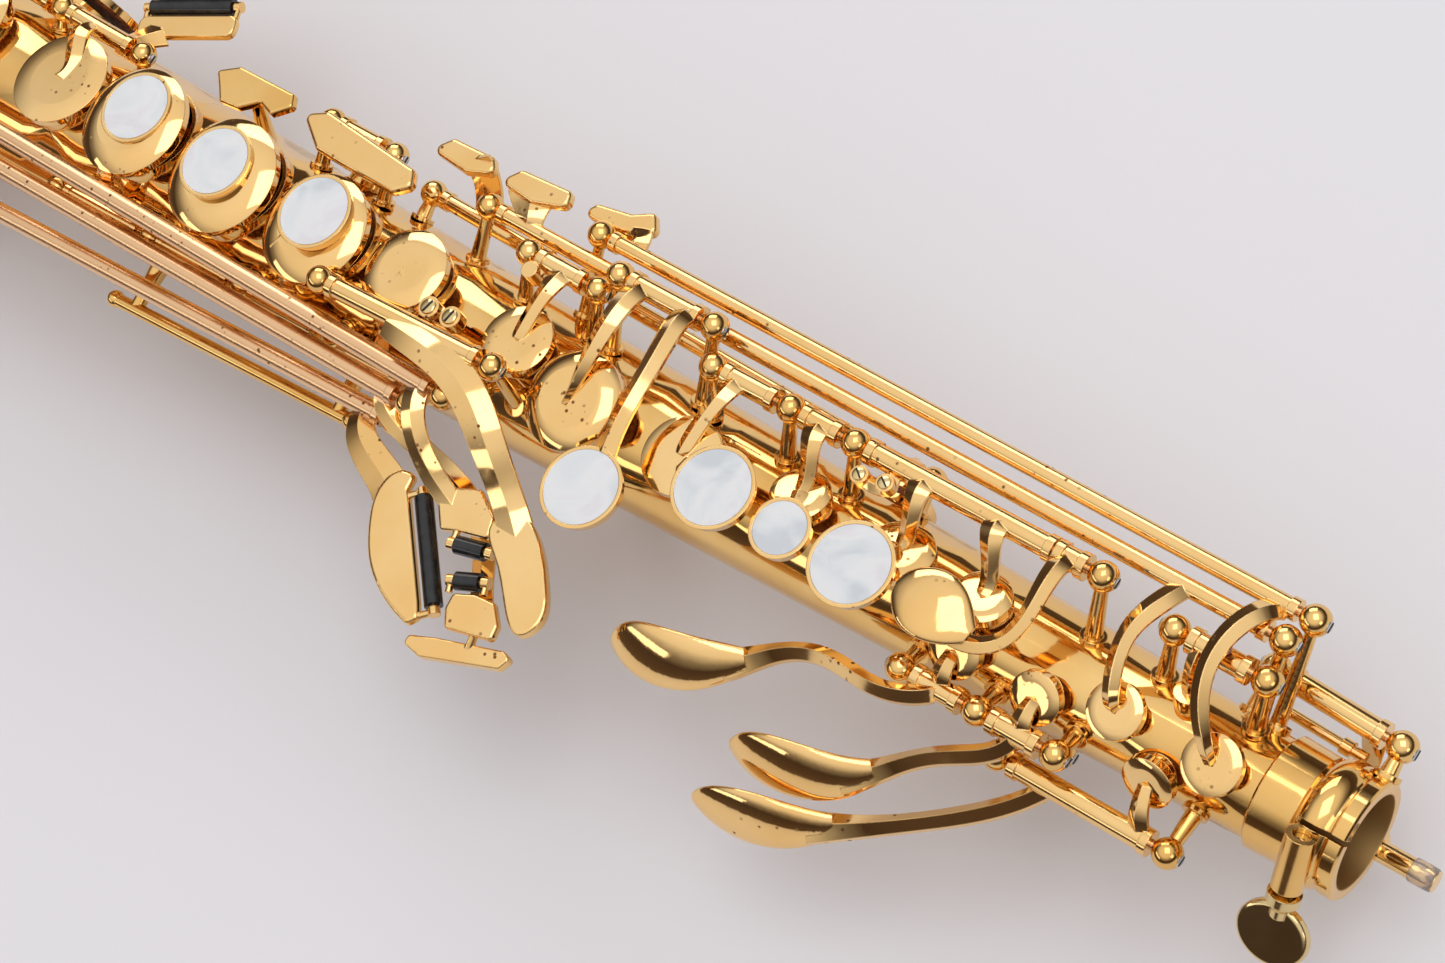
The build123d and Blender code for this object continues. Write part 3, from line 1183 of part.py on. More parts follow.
# ---------------------------------------------------------------- guards, hook, rest, ring
GUARD_RISE = 10.4
GUARD_BAR_RADIUS = 1.3
GUARD_LEG_GAP = 2.4
FELT_RADIUS = 2.4
FELT_RISE = 5.3
FELT_DEPTH = 2.6
with BuildPart() as key_guards:
    for note, plane in LOW_PADS.items():
        hole = HOLES[note]
        reach = cup_radius(hole) + GUARD_LEG_GAP
        corners = []
        for side in (-1, 1):
            foot = at(hole.x + side * reach, hole.phi, -0.3)
            corner = roof(plane, along=side * reach, rise=GUARD_RISE)
            bar(foot, corner, 2.0, GUARD_BAR_RADIUS)
            ball(corner, GUARD_BAR_RADIUS + 0.3)
            corners.append(corner)
        bar(corners[0], corners[1], GUARD_BAR_RADIUS)
        bar(roof(plane, rise=FELT_RISE + FELT_DEPTH), roof(plane, rise=GUARD_RISE + 1.8), 1.9)
    bar((-283.0, -28.6, -4.0), (-215.0, -25.2, -4.0), 1.5)
    ball((-283.0, -28.6, -4.0), 1.9)
    ball((-215.0, -25.2, -4.0), 2.0)
    for x in (-277.0, -219.0):
        bar(at(x, -98.0, -0.3), (x, -28.6 + (x + 283.0) * 0.05, -4.0), 2.1, 1.4)
    plate([(-272.6, 18.8), (-267.8, 21.8), (-252.4, 21.8), (-250.8, 19.2), (-254.4, 15.8), (-258.4, 17.0),
           (-262.4, 13.8), (-267.4, 13.4), (-269.6, 15.8)], 23.4, 1.8, 0.8, easing=0.7)
    bar(at(-262.0, 52.0, -0.3), (-261.0, 18.0, 22.2), 2.0, 1.3)
    clear_tube(TUBE_END, -100)
finish(key_guards, "key_guards")

with BuildPart() as guard_felts:
    for plane in LOW_PADS.values():
        bar(roof(plane, rise=FELT_RISE), roof(plane, rise=FELT_RISE + FELT_DEPTH), FELT_RADIUS)
finish(guard_felts, "guard_felts")

HOOK_X = -238.0
HOOK_HALF_WIDTH = 9.0
HOOK_REACH = 19.5
hook_ground = -tube_radius(HOOK_X)
with BuildPart() as thumb_hook:
    hook_path = [
        (HOOK_X + 6.0, 0, hook_ground - 1.9),
        (HOOK_X + 1.0, 0, hook_ground - 2.6),
        (HOOK_X - 2.4, 0, hook_ground - 7.0),
        (HOOK_X - 4.4, 0, hook_ground - 13.0),
        (HOOK_X - 8.4, 0, hook_ground - 17.6),
        (HOOK_X - 15.0, 0, hook_ground - HOOK_REACH + 1.0),
    ]
    arm(hook_path, [10.0, 11.0, 13.0, 2 * HOOK_HALF_WIDTH - 2, 2 * HOOK_HALF_WIDTH, 2 * HOOK_HALF_WIDTH],
        2.0,
        up=(-1, 0, 1))
    with BuildSketch(Plane.XY.offset(hook_ground - 2.4)) as hook_base:
        with Locations((HOOK_X + 5.0, 0)):
            RectangleRounded(20.0, 11.0, 3.0)
    extrude(hook_base.sketch, amount=5.0)
    clear_tube(HOOK_X - 40, HOOK_X + 40)
finish(thumb_hook, "thumb_hook")

REST_X = -94.0
with BuildPart() as thumb_rest:
    rest_ground = -tube_radius(REST_X)
    bar((REST_X, 0, rest_ground + 2.0), (REST_X, 0, rest_ground - 3.4), 3.4)
    bar((REST_X, 0, rest_ground - 3.4), (REST_X, 0, rest_ground - 5.4), 6.6, 5.8)
    clear_tube(REST_X - 12, REST_X + 12)
finish(thumb_rest, "thumb_rest")

RING_X = -168.0
RING_RADIUS = 6.2
RING_WIRE = 1.4
with BuildPart() as strap_ring:
    ring_ground = -tube_radius(RING_X)
    with BuildSketch(Plane.XY.offset(ring_ground - 1.2)) as ring_base:
        with Locations((RING_X, 0)):
            RectangleRounded(24.0, 8.0, 2.5)
    extrude(ring_base.sketch, amount=3.0)
    with Locations(Location((RING_X, 0, ring_ground - 1.4 - RING_RADIUS), (90, 0, 0))):
        Torus(RING_RADIUS, RING_WIRE)
    clear_tube(RING_X - 20, RING_X + 20)
finish(strap_ring, "strap_ring")

# ---------------------------------------------------------------- needle springs, post to key
SPRINGS = (
    (STACK, -54.6, -70.0),
    (STACK, -106.5, -96.0),
    (STACK, -106.5, -115.0),
    (STACK, -139.0, -130.0),
    (G_LINE, -142.4, -152.0),
    (LOWER_STACK, -243.0, -236.0),
    (LOWER_STACK, -269.2, -262.0),
    (LOWER_STACK, -297.0, -290.0),
    (HIGH_E_LINE, -26.2, -40.0),
    (RIGHT_PINKY, -322.0, -314.0),
)
SPRING_RADIUS = 0.35
with BuildPart() as needle_springs:
    for hinge, start, end in SPRINGS:
        drop = Vector(0, 0, -3.4)
        bar(on(hinge, start) + drop, on(hinge, end) + drop * 1.15, SPRING_RADIUS, 0.2)
finish(needle_springs, "needle_springs")
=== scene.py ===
"""Looks of the soprano saxophone: finishes, pads, felts, screws, clear tip, floor, light and camera."""
import json
import math

import bmesh
import bpy
import numpy
from mathutils import Matrix, Vector


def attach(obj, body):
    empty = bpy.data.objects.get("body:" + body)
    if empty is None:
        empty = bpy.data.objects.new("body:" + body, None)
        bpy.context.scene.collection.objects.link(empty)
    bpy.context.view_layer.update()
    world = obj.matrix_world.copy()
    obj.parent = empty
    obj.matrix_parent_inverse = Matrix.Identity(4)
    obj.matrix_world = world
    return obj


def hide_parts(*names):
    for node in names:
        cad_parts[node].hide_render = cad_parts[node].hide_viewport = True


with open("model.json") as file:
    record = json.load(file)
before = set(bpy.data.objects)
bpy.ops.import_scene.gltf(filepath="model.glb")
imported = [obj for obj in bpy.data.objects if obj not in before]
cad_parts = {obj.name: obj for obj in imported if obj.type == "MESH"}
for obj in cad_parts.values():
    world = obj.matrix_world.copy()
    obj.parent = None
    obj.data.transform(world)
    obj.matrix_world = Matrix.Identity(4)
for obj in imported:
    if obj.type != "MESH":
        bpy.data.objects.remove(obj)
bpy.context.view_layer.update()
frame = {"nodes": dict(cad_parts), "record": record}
scene = bpy.context.scene

# ---------------------------------------------------------------- camera of the photograph
CAMERA_PLACE = Vector((0.1169, -0.0749, 0.4449))
CAMERA_TARGET = Vector((-0.14467, 0.00269, -0.01631))
CAMERA_ROLL = math.radians(-119.331)
LENS = 70.115
SENSOR = 36.0


def add_camera():
    """Camera at the photograph's place, turned about its own line of sight."""
    forward = (CAMERA_TARGET - CAMERA_PLACE).normalized()
    right = forward.cross(Vector((1, 0, 0))).normalized()
    down = forward.cross(right)
    c, s = math.cos(CAMERA_ROLL), math.sin(CAMERA_ROLL)
    image_right = right * c + down * s
    image_down = -right * s + down * c
    axes = Matrix((image_right, -image_down, -forward)).transposed()
    data = bpy.data.cameras.new("camera")
    data.lens = LENS
    data.sensor_width = SENSOR
    data.clip_start = 0.01
    camera = bpy.data.objects.new("camera", data)
    camera.matrix_world = Matrix.Translation(CAMERA_PLACE) @ axes.to_4x4()
    scene.collection.objects.link(camera)
    scene.camera = camera


# ---------------------------------------------------------------- materials
def new_material(name):
    material = bpy.data.materials.new(name)
    material.use_nodes = True
    return material, material.node_tree, material.node_tree.nodes["Principled BSDF"]


def place(tree):
    return tree.nodes.new("ShaderNodeTexCoord").outputs["Object"]


def noise(tree, scale, detail=4.0, distortion=0.0):
    """Noise texture laid out in the object's own metres."""
    texture = tree.nodes.new("ShaderNodeTexNoise")
    texture.inputs["Scale"].default_value = scale
    texture.inputs["Detail"].default_value = detail
    texture.inputs["Distortion"].default_value = distortion
    tree.links.new(place(tree), texture.inputs["Vector"])
    return texture.outputs["Fac"]


def ramp(tree, factor, stops):
    """Colour ramp from (position, colour) stops."""
    node = tree.nodes.new("ShaderNodeValToRGB")
    elements = node.color_ramp.elements
    while len(elements) < len(stops):
        elements.new(0.5)
    for element, (position, colour) in zip(elements, stops):
        element.position = position
        element.color = (*colour, 1.0)
    tree.links.new(factor, node.inputs["Fac"])
    return node.outputs["Color"]


def grey(value):
    return (value, value, value)


def arithmetic(tree, operation, first, second=None):
    node = tree.nodes.new("ShaderNodeMath")
    node.operation = operation
    for socket, value in zip(node.inputs, (first, second)):
        if isinstance(value, (int, float)):
            socket.default_value = value
        elif value is not None:
            tree.links.new(value, socket)
    return node.outputs["Value"]


MIX_FIRST, MIX_SECOND, MIX_RESULT = 6, 7, 2     # the Mix node's colour sockets


def mix(tree, factor, first, second):
    """Blend of two colours, each a socket or a plain colour."""
    node = tree.nodes.new("ShaderNodeMix")
    node.data_type = "RGBA"
    tree.links.new(factor, node.inputs["Factor"])
    for socket, value in ((node.inputs[MIX_FIRST], first), (node.inputs[MIX_SECOND], second)):
        if isinstance(value, tuple):
            socket.default_value = (*value, 1.0)
        else:
            tree.links.new(value, socket)
    return node.outputs[MIX_RESULT]


BEVEL_SAMPLES = 4


def relief(tree, shader, height, distance, edge=0.0):
    """Bump over softened edges."""
    node = tree.nodes.new("ShaderNodeBump")
    node.inputs["Strength"].default_value = 1.0
    node.inputs["Distance"].default_value = distance
    tree.links.new(height, node.inputs["Height"])
    if edge:
        bevel = tree.nodes.new("ShaderNodeBevel")
        bevel.samples = BEVEL_SAMPLES
        bevel.inputs["Radius"].default_value = edge
        tree.links.new(bevel.outputs["Normal"], node.inputs["Normal"])
    tree.links.new(node.outputs["Normal"], shader.inputs["Normal"])


SPOT_SCALE = 520.0
SPOT_EDGE = (0.13, 0.23)
PATCH_SCALE = 95.0            # patches of lacquer that have spots
PATCH_EDGE = (0.55, 0.62)


def speckles(tree):
    """Sparse dark tarnish spots in the lacquer."""
    cells = tree.nodes.new("ShaderNodeTexVoronoi")
    cells.inputs["Scale"].default_value = SPOT_SCALE
    tree.links.new(place(tree), cells.inputs["Vector"])
    spots = ramp(tree, cells.outputs["Distance"], list(zip(SPOT_EDGE, (grey(1.0), grey(0.0)))))
    patches = ramp(tree, noise(tree, PATCH_SCALE, 2.0), list(zip(PATCH_EDGE, (grey(0.0), grey(1.0)))))
    return arithmetic(tree, "MULTIPLY", spots, patches)


EDGE = 0.00028                # how far edges look rounded
TUBE_MASK = 0.0026            # hinge tubes reach this far from their hinge line
BORE_MASK = 0.0089            # the bore's wall at the socket reaches this far from its line


def near_line(tree, point, axis, reach):
    """1 within reach of a line, 0 beyond."""
    offset = tree.nodes.new("ShaderNodeVectorMath")
    offset.operation = "SUBTRACT"
    tree.links.new(place(tree), offset.inputs[0])
    offset.inputs[1].default_value = point
    across = tree.nodes.new("ShaderNodeVectorMath")
    across.operation = "CROSS_PRODUCT"
    tree.links.new(offset.outputs[0], across.inputs[0])
    across.inputs[1].default_value = axis
    length = tree.nodes.new("ShaderNodeVectorMath")
    length.operation = "LENGTH"
    tree.links.new(across.outputs[0], length.inputs[0])
    return arithmetic(tree, "LESS_THAN", length.outputs["Value"], reach)


CLOUD_SCALE = 55.0
POLISH_SCALE = 260.0
WAVE_SCALE = 80.0
WAVE_DEPTH = 0.00003
ROSY = (0.90, 0.57, 0.31)
ROSY_ROUGHNESS = 0.24
BORE_COLOUR = (0.62, 0.40, 0.16)
BORE_ROUGHNESS = 0.5
TARNISH_COLOUR = (0.22, 0.09, 0.03)
TARNISH_ROUGHNESS = 0.45


def brass(name, light, deep, roughness, spots=False, line=None, bore=False):
    """Lacquered brass with polishing waves and, where asked, tarnish, matt tubes or a dull bore."""
    material, tree, shader = new_material(name)
    shader.inputs["Metallic"].default_value = 1.0
    colour = ramp(tree, noise(tree, CLOUD_SCALE), [(0.3, deep), (0.7, light)])
    smooth, dull = grey(roughness * 0.6), grey(roughness * 1.5)
    rough = ramp(tree, noise(tree, POLISH_SCALE, 6.0), [(0.3, smooth), (0.75, dull)])
    if line is not None:
        tube = near_line(tree, *line, TUBE_MASK)
        colour = mix(tree, tube, colour, ROSY)
        rough = mix(tree, tube, rough, grey(ROSY_ROUGHNESS))
    if bore:
        inside = near_line(tree, (0, 0, 0), (1, 0, 0), BORE_MASK)
        colour = mix(tree, inside, colour, BORE_COLOUR)
        rough = mix(tree, inside, rough, grey(BORE_ROUGHNESS))
    if spots:
        tarnish = speckles(tree)
        colour = mix(tree, tarnish, colour, TARNISH_COLOUR)
        rough = mix(tree, tarnish, rough, grey(TARNISH_ROUGHNESS))
    tree.links.new(colour, shader.inputs["Base Color"])
    tree.links.new(rough, shader.inputs["Roughness"])
    relief(tree, shader, noise(tree, WAVE_SCALE, 2.0), WAVE_DEPTH, EDGE)
    return material


KEY_LIGHT = (0.97, 0.66, 0.29)
KEY_DEEP = (0.92, 0.57, 0.21)
KEY_ROUGHNESS = 0.07
MATT_TUBES = ("low_c_sharp_key", "low_b_key", "low_b_flat_key")
body_brass = brass("body_brass", (0.92, 0.60, 0.23), (0.83, 0.48, 0.14), 0.08, bore=True)
screw_brass = brass("screw_brass", (0.84, 0.66, 0.34), (0.74, 0.55, 0.26), 0.07)
rod_metal = brass("rod_metal", (0.84, 0.60, 0.40), (0.72, 0.48, 0.30), 0.18)


MOTTLE_START = 0.34           # the colours share this part of the noise's range
MOTTLE_SPAN = 0.32


def plain(name, colours, roughness, metallic=0.0, scale=400.0, depth=0.00002, distortion=0.0):
    """Finish with mottled colour and fine relief; colours run from dark to light."""
    material, tree, shader = new_material(name)
    shader.inputs["Metallic"].default_value = metallic
    last = len(colours) - 1
    stops = [(MOTTLE_START + MOTTLE_SPAN * index / last, colour) for index, colour in enumerate(colours)]
    tree.links.new(ramp(tree, noise(tree, scale, 6.0, distortion), stops), shader.inputs["Base Color"])
    smooth, dull = grey(0.8 * roughness), grey(1.2 * roughness)
    rough = ramp(tree, noise(tree, 0.6 * scale), [(0.3, smooth), (0.7, dull)])
    tree.links.new(rough, shader.inputs["Roughness"])
    relief(tree, shader, noise(tree, 2.5 * scale), depth)
    return material, shader


leather, _ = plain(
    "pad_leather",
    ((0.10, 0.03, 0.02), (0.25, 0.09, 0.05), (0.36, 0.15, 0.08)),
    0.55,
    scale=900.0,
    depth=0.00008,
)
resonator, _ = plain("resonator", ((0.55, 0.36, 0.16), (0.75, 0.52, 0.26)), 0.3, 1.0)
pearl, pearl_shader = plain(
    "mother_of_pearl",
    ((0.60, 0.64, 0.68), (0.71, 0.74, 0.76), (0.78, 0.79, 0.80), (0.74, 0.72, 0.75), (0.68, 0.71, 0.74)),
    0.16,
    scale=75.0,
    distortion=0.7,
    depth=0.00003,
)
pearl_shader.inputs["Coat Weight"].default_value = 0.6
pearl_shader.inputs["Coat Roughness"].default_value = 0.04
black, _ = plain("black_roller", ((0.006, 0.006, 0.007), (0.02, 0.02, 0.022)), 0.16, depth=0.000005)
felt, felt_shader = plain(
    "red_felt",
    ((0.18, 0.008, 0.012), (0.42, 0.03, 0.04)),
    0.95,
    scale=1400.0,
    depth=0.0002,
)
felt_shader.inputs["Sheen Weight"].default_value = 0.7
blued, _ = plain("blued_steel", ((0.03, 0.035, 0.06), (0.07, 0.08, 0.14)), 0.25, 1.0)
steel, _ = plain("screw_steel", ((0.50, 0.49, 0.47), (0.72, 0.71, 0.69)), 0.2, 1.0)
clear, clear_shader = plain("clear_tip", ((0.88, 0.86, 0.82), (0.95, 0.94, 0.92)), 0.12)
clear_shader.inputs["Transmission Weight"].default_value = 0.75
# Near-black finish of the screw slots: painted shadow that stands for the shade inside each slot.
slot_painted_shadow, _ = plain("slot_shadow", ((0.02, 0.015, 0.01), (0.05, 0.035, 0.025)), 0.6)

SLOTS = {
    "lacquered_brass": body_brass,
    "steel_rod": rod_metal,
    "blued_steel": blued,
    "pad_leather": leather,
    "pearl": pearl,
    "black_roller": black,
    "red_felt": felt,
}

BEHAVIOUR = frame["record"]["behaviour"]
SUBPARTS = frame["record"]["subparts"]
HINGES = {joint["child"]: (joint["pos_m"], joint["axis"]) for joint in BEHAVIOUR["joints"]}
BODIES = {node: body for body, nodes in BEHAVIOUR["bodies"].items() for node in nodes}
for entry in SUBPARTS:
    name = entry["node"]
    finish = SLOTS.get(entry["material_slot"])
    if name == "clamp_screw":
        finish = screw_brass
    if finish is None:
        line = HINGES[name] if name in MATT_TUBES else None
        finish = brass(f"{name}_lacquer", KEY_LIGHT, KEY_DEEP, KEY_ROUGHNESS, spots=True, line=line)
    for slot in frame["nodes"][name].material_slots:
        slot.material = finish


# ---------------------------------------------------------------- pads and felts
def add_form(name, form, materials, body):
    """Makes a form a piece of the scene that rides on a body."""
    mesh = bpy.data.meshes.new(name)
    form.to_mesh(mesh)
    form.free()
    for material in materials:
        mesh.materials.append(material)
    piece = bpy.data.objects.new(name, mesh)
    scene.collection.objects.link(piece)
    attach(piece, body)
    return piece


def islands(node):
    """Loose shells of a node in the order of its points, each as the array of its corner points."""
    source = bmesh.new()
    source.from_mesh(frame["nodes"][node].data)
    bmesh.ops.remove_doubles(source, verts=source.verts, dist=1e-7)
    source.verts.index_update()
    seen = [False] * len(source.verts)
    shells = []
    for start in source.verts:
        if seen[start.index]:
            continue
        seen[start.index] = True
        shell = [start]
        for vertex in shell:
            for edge in vertex.link_edges:
                other = edge.other_vert(vertex)
                if not seen[other.index]:
                    seen[other.index] = True
                    shell.append(other)
        shells.append(numpy.array([tuple(vertex.co) for vertex in shell]))
    source.free()
    return shells


def disc_place(points):
    """Centre, axis, radius and half depth of a round shell; the axis looks away from the bore."""
    centre = (points.max(axis=0) + points.min(axis=0)) / 2
    middle = points.mean(axis=0)
    _, _, rows = numpy.linalg.svd(points - middle)
    away = numpy.array((0.0, centre[1], centre[2]))
    axis = rows[2] if numpy.dot(rows[2], away) > 0 else -rows[2]
    along = (points - middle) @ axis
    flat = points - numpy.outer(along, axis)
    centre = (flat.max(axis=0) + flat.min(axis=0)) / 2 + axis * (along.max() + along.min()) / 2
    radius = numpy.linalg.norm(flat - flat.mean(axis=0), axis=1).max()
    return Vector(centre), Vector(axis), radius, (along.max() - along.min()) / 2


SPOKES = 64
POLE = 1e-6                   # a smaller radius closes the form in one point
WAVES = ((5, 1, 1.0), (11, 0, 0.6))        # of a soft rim: how many, their phase and their share


def turned(mesh, centre, axis, profile, wobble=0.0, shade=0):
    """Adds a closed turned form; profile is (radius, height) pairs from pole to pole."""
    side = axis.orthogonal().normalized()
    other = axis.cross(side)
    rings = []
    for radius, height in profile:
        ring = []
        for spoke in range(SPOKES if radius > POLE else 1):
            angle = 2 * math.pi * spoke / SPOKES
            waves = sum(share * math.sin(count * angle + phase) for count, phase, share in WAVES)
            swell = 1 + wobble * waves
            reach = (side * math.cos(angle) + other * math.sin(angle)) * radius * swell
            ring.append(mesh.verts.new(centre + axis * height + reach))
        rings.append(ring)
    for lower, upper in zip(rings, rings[1:]):
        for spoke in range(SPOKES):
            corners = [lower[spoke % len(lower)], lower[(spoke + 1) % len(lower)]]
            corners += [upper[(spoke + 1) % len(upper)], upper[spoke % len(upper)]]
            corners = list(dict.fromkeys(corners))
            if len(corners) > 2:
                face = mesh.faces.new(corners)
                face.smooth = True
                face.material_index = shade


def pad_profile(radius, half):
    """Leather skin folded round a felt: rounded rim, faint dish and a pressed ring."""
    r = radius
    h = half
    return [(0, h), (0.7 * r, h), (0.97 * r, 0.9 * h), (r, 0.45 * h), (0.998 * r, -0.2 * h),
            (0.95 * r, -0.55 * h), (0.86 * r, -0.72 * h), (0.76 * r, -0.68 * h), (0.70 * r, -0.73 * h),
            (0.4 * r, -0.70 * h), (0, -0.68 * h)]


RESONATOR_SHARE = 0.36        # of the pad's radius


def resonator_profile(radius, half):
    """Domed metal disc with a rivet, set in the pad's face."""
    r = RESONATOR_SHARE * radius
    h = half
    return [(0, -0.62 * h), (r, -0.66 * h), (0.97 * r, -0.80 * h), (0.6 * r, -0.86 * h),
            (0.22 * r, -0.90 * h), (0.2 * r, -0.97 * h), (0, -0.99 * h)]


def felt_profile(radius, half):
    """Bumper with softly rounded ends."""
    r = radius
    h = half
    return [(0, h), (0.75 * r, 0.98 * h), (0.95 * r, 0.82 * h), (r, 0.5 * h), (0.985 * r, 0), (r, -0.5 * h),
            (0.94 * r, -0.84 * h), (0.7 * r, -0.98 * h), (0, -h)]


def soft_piece(node, profiles, materials, slot_name, wobble):
    """One object of turned pieces, which stands for every shell of a soft node."""
    form = bmesh.new()
    for points in islands(node):
        centre, axis, radius, half = disc_place(points)
        for shade, profile in enumerate(profiles):
            turned(form, centre, axis, profile(radius, half), wobble, shade)
    bmesh.ops.recalc_face_normals(form, faces=form.faces)
    piece = add_form(f"{node}_soft", form, materials, BODIES[node])
    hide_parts(node)


# Profiles, materials, slot and how far the rim wavers, as a share of its radius.
PAD_LOOK = ((pad_profile, resonator_profile), (leather, resonator), "pad_leather", 0.002)
FELT_LOOK = ((felt_profile,), (felt,), "red_felt", 0.006)
for entry in SUBPARTS:
    node = entry["node"]
    if entry["material_slot"] == "pad_leather":
        soft_piece(node, *PAD_LOOK)
    elif entry["material_slot"] == "red_felt":
        soft_piece(node, *FELT_LOOK)

MM = 0.001
TUBE_MOUTH = 8.7              # outside of the body tube at x = 0 in mm, as the sizes below
TUBE_TAPER = 0.0335           # its radius grows by this for each mm toward the bell
SEAT_RISE = 1.02              # pad's underside over the tube
PAD_PAST_HOLE = 1.5
CUP_RIM = 0.46                # just under the rim of the cup
# For each key: x, angle about the bore, radius of its hole, and the angle at which it rests open.
FIXED_PADS = {
    "high_f_sharp_key": (-24.5, -15.0, 3.1, 0),
    "high_e_key": (-43.0, -15.0, 2.9, 0),
    "palm_f_key": (-33.5, -54.0, 2.7, 0),
    "palm_eb_key": (-56.5, -36.0, 2.7, 0),
    "palm_d_key": (-73.0, -34.0, 2.9, 0),
    "bis_key": (-111.5, 9.0, 3.4, -8.0),
    "g_sharp_cup_key": (-178.6, 4.0, 5.0, 0),
    "low_eb_key": (-307.0, 5.0, 8.6, 0),
    "low_c_sharp_key": (-341.0, 8.0, 9.6, 0),
    "side_c_key": (-104.0, 112.0, 4.0, 0),
    "f_sharp_trill_key": (-241.0, 84.0, 3.6, 0),
}


def fixed_pad(node, x, angle, hole, swing):
    """Leather skin and resonator over the underside of a pad that is one piece with its key."""
    away = Vector((0, math.sin(math.radians(angle)), math.cos(math.radians(angle))))
    seat = Vector((x, 0, 0)) + away * (TUBE_MOUTH - TUBE_TAPER * x + SEAT_RISE)
    position, axis = HINGES[BODIES[node]]
    turn = Matrix.Rotation(math.radians(swing), 4, Vector(axis))
    pivot = Vector(position)
    seat = pivot + turn @ (seat * MM - pivot)
    away = turn @ away
    r = hole + PAD_PAST_HOLE
    skin = [(0, CUP_RIM), (r, CUP_RIM), (r + 0.05, 0.3), (r - 0.12, 0.02), (r - 0.5, -0.05),
            (0.4 * r, -0.04), (0, -0.04)]
    disc = [(0, 0), (0.43 * hole, 0), (0.43 * hole, -0.24), (0.2 * hole, -0.32), (0, -0.36)]
    form = bmesh.new()
    for shade, profile in enumerate((skin, disc)):
        turned(form, seat, away, [(radius * MM, height * MM) for radius, height in profile], 0.0, shade)
    bmesh.ops.recalc_face_normals(form, faces=form.faces)
    piece = add_form(f"{node}_skin", form, (leather, resonator), BODIES[node])


for node, sizes in FIXED_PADS.items():
    fixed_pad(node, *sizes)


# ---------------------------------------------------------------- felt, slotted screws, clear tip
def turned_piece(name, body, material, centre, axis, profile):
    """A piece of one form turned about an axis through its centre."""
    form = bmesh.new()
    turned(form, Vector(centre), Vector(axis).normalized(), profile)
    bmesh.ops.recalc_face_normals(form, faces=form.faces)
    return add_form(name, form, (material,), body)


FELT_PLACE = (-0.0312, 0.0134, 0.0188)     # under the high F sharp key's arm
FELT_SIZE = (0.0014, 0.0011)
bumper = turned_piece(
    "arm_felt", "high_f_sharp_key", felt, FELT_PLACE, (0, 0, 1), felt_profile(*FELT_SIZE)
)

HEAD_RISE = 0.00035           # top and underside of a screw's head, from the face of its boss
HEAD_ROOT = -0.0004
SLOT_DEPTH = 0.0003
SLOT_EASING = 0.00005


def screw_head(name, body, top, radius, turn_deg):
    """Brass screw with its slot, standing just above the face of a boss at top; the slot is a near-black
    box, painted shadow for the shade inside it.
    """
    profile = [(0, HEAD_ROOT), (radius, HEAD_ROOT), (radius, 0.6 * HEAD_RISE), (0.86 * radius, HEAD_RISE),
               (0, HEAD_RISE)]
    turned_piece(name, body, screw_brass, top, (0, 0, 1), profile)
    form = bmesh.new()
    bmesh.ops.create_cube(form, size=1.0)
    bmesh.ops.scale(form, verts=form.verts, vec=(1.75 * radius, 0.28 * radius, SLOT_DEPTH))
    bmesh.ops.bevel(form, geom=form.edges, offset=SLOT_EASING, segments=2, affect="EDGES")
    turn = Matrix.Rotation(math.radians(turn_deg), 4, "Z")
    lift = Matrix.Translation(Vector(top) + Vector((0, 0, HEAD_RISE)))
    bmesh.ops.transform(form, matrix=lift @ turn, verts=form.verts)
    add_form(f"{name}_slot", form, (slot_painted_shadow,), body)


# Adjusting screws: their names, body, radius, and for each its place and the turn of its slot in degrees.
SCREWS = (
    ("stack_screw", "b_key", 0.00125, (((-0.102, 0.0092, 0.021), -36.4), ((-0.097, 0.010, 0.021), -32.9))),
    ("lower_screw", "f_sharp_cup_key", 0.0016,
     (((-0.1968, -0.0021, 0.0217), -102.76), ((-0.1914, -0.0018, 0.0217), -98.98))),
)
for name, body, radius, places in SCREWS:
    for index, (top, turn_deg) in enumerate(places):
        screw_head(f"{name}_{index}", body, top, radius, turn_deg)

PIVOT_PROFILE = [(0, -0.0005), (0.00115, -0.0005), (0.00115, 0.0003), (0.00095, 0.0005), (0, 0.0005)]
PIVOT_SLOT = (0.0019, 0.0004, 0.0004)
PIVOT_SLOT_RISE = 0.0004
END_DEPTH = 0.0003            # a rod's points this near its end make its end face


def pivot_screws():
    """Slotted steel ends of the hinge rods, in the outer faces of the posts' balls; each slot is a
    near-black box, painted shadow for the shade inside it.
    """
    heads = bmesh.new()
    slots = bmesh.new()
    for points in islands("pivot_rods"):
        low = Vector(points[points[:, 0].argmin()])
        high = Vector(points[points[:, 0].argmax()])
        axis = (high - low).normalized()
        low_end = Vector(points[points[:, 0] < low.x + END_DEPTH].mean(axis=0))
        high_end = Vector(points[points[:, 0] > high.x - END_DEPTH].mean(axis=0))
        for centre, way in ((low_end, -axis), (high_end, axis)):
            turned(heads, centre, way, PIVOT_PROFILE)
            turn = way.to_track_quat("Z", "Y").to_matrix().to_4x4()
            lift = Matrix.Translation(centre + way * PIVOT_SLOT_RISE)
            cube = bmesh.ops.create_cube(slots, size=1.0)["verts"]
            bmesh.ops.scale(slots, verts=cube, vec=PIVOT_SLOT)
            bmesh.ops.transform(slots, matrix=lift @ turn, verts=cube)
    for name, form, material, slot_name in (
        ("pivot_heads", heads, steel, "steel_rod"),
        ("pivot_slots", slots, slot_painted_shadow, "blued_steel"),
    ):
        bmesh.ops.recalc_face_normals(form, faces=form.faces)
        add_form(name, form, (material,), BODIES["pivot_rods"])


pivot_screws()

TIP = (0.0096, 0.0023, -0.0136)      # end of the octave lever's pin
TIP_PROFILE = [(0, -0.0045), (0.0019, -0.0045), (0.00215, -0.0043), (0.0022, -0.0022), (0.0021, -0.0004),
               (0.0018, -0.00003), (0, -0.00001)]
turned_piece("pin_tip", "octave_pin_lever", clear, TIP, (1, 0, 0), TIP_PROFILE)


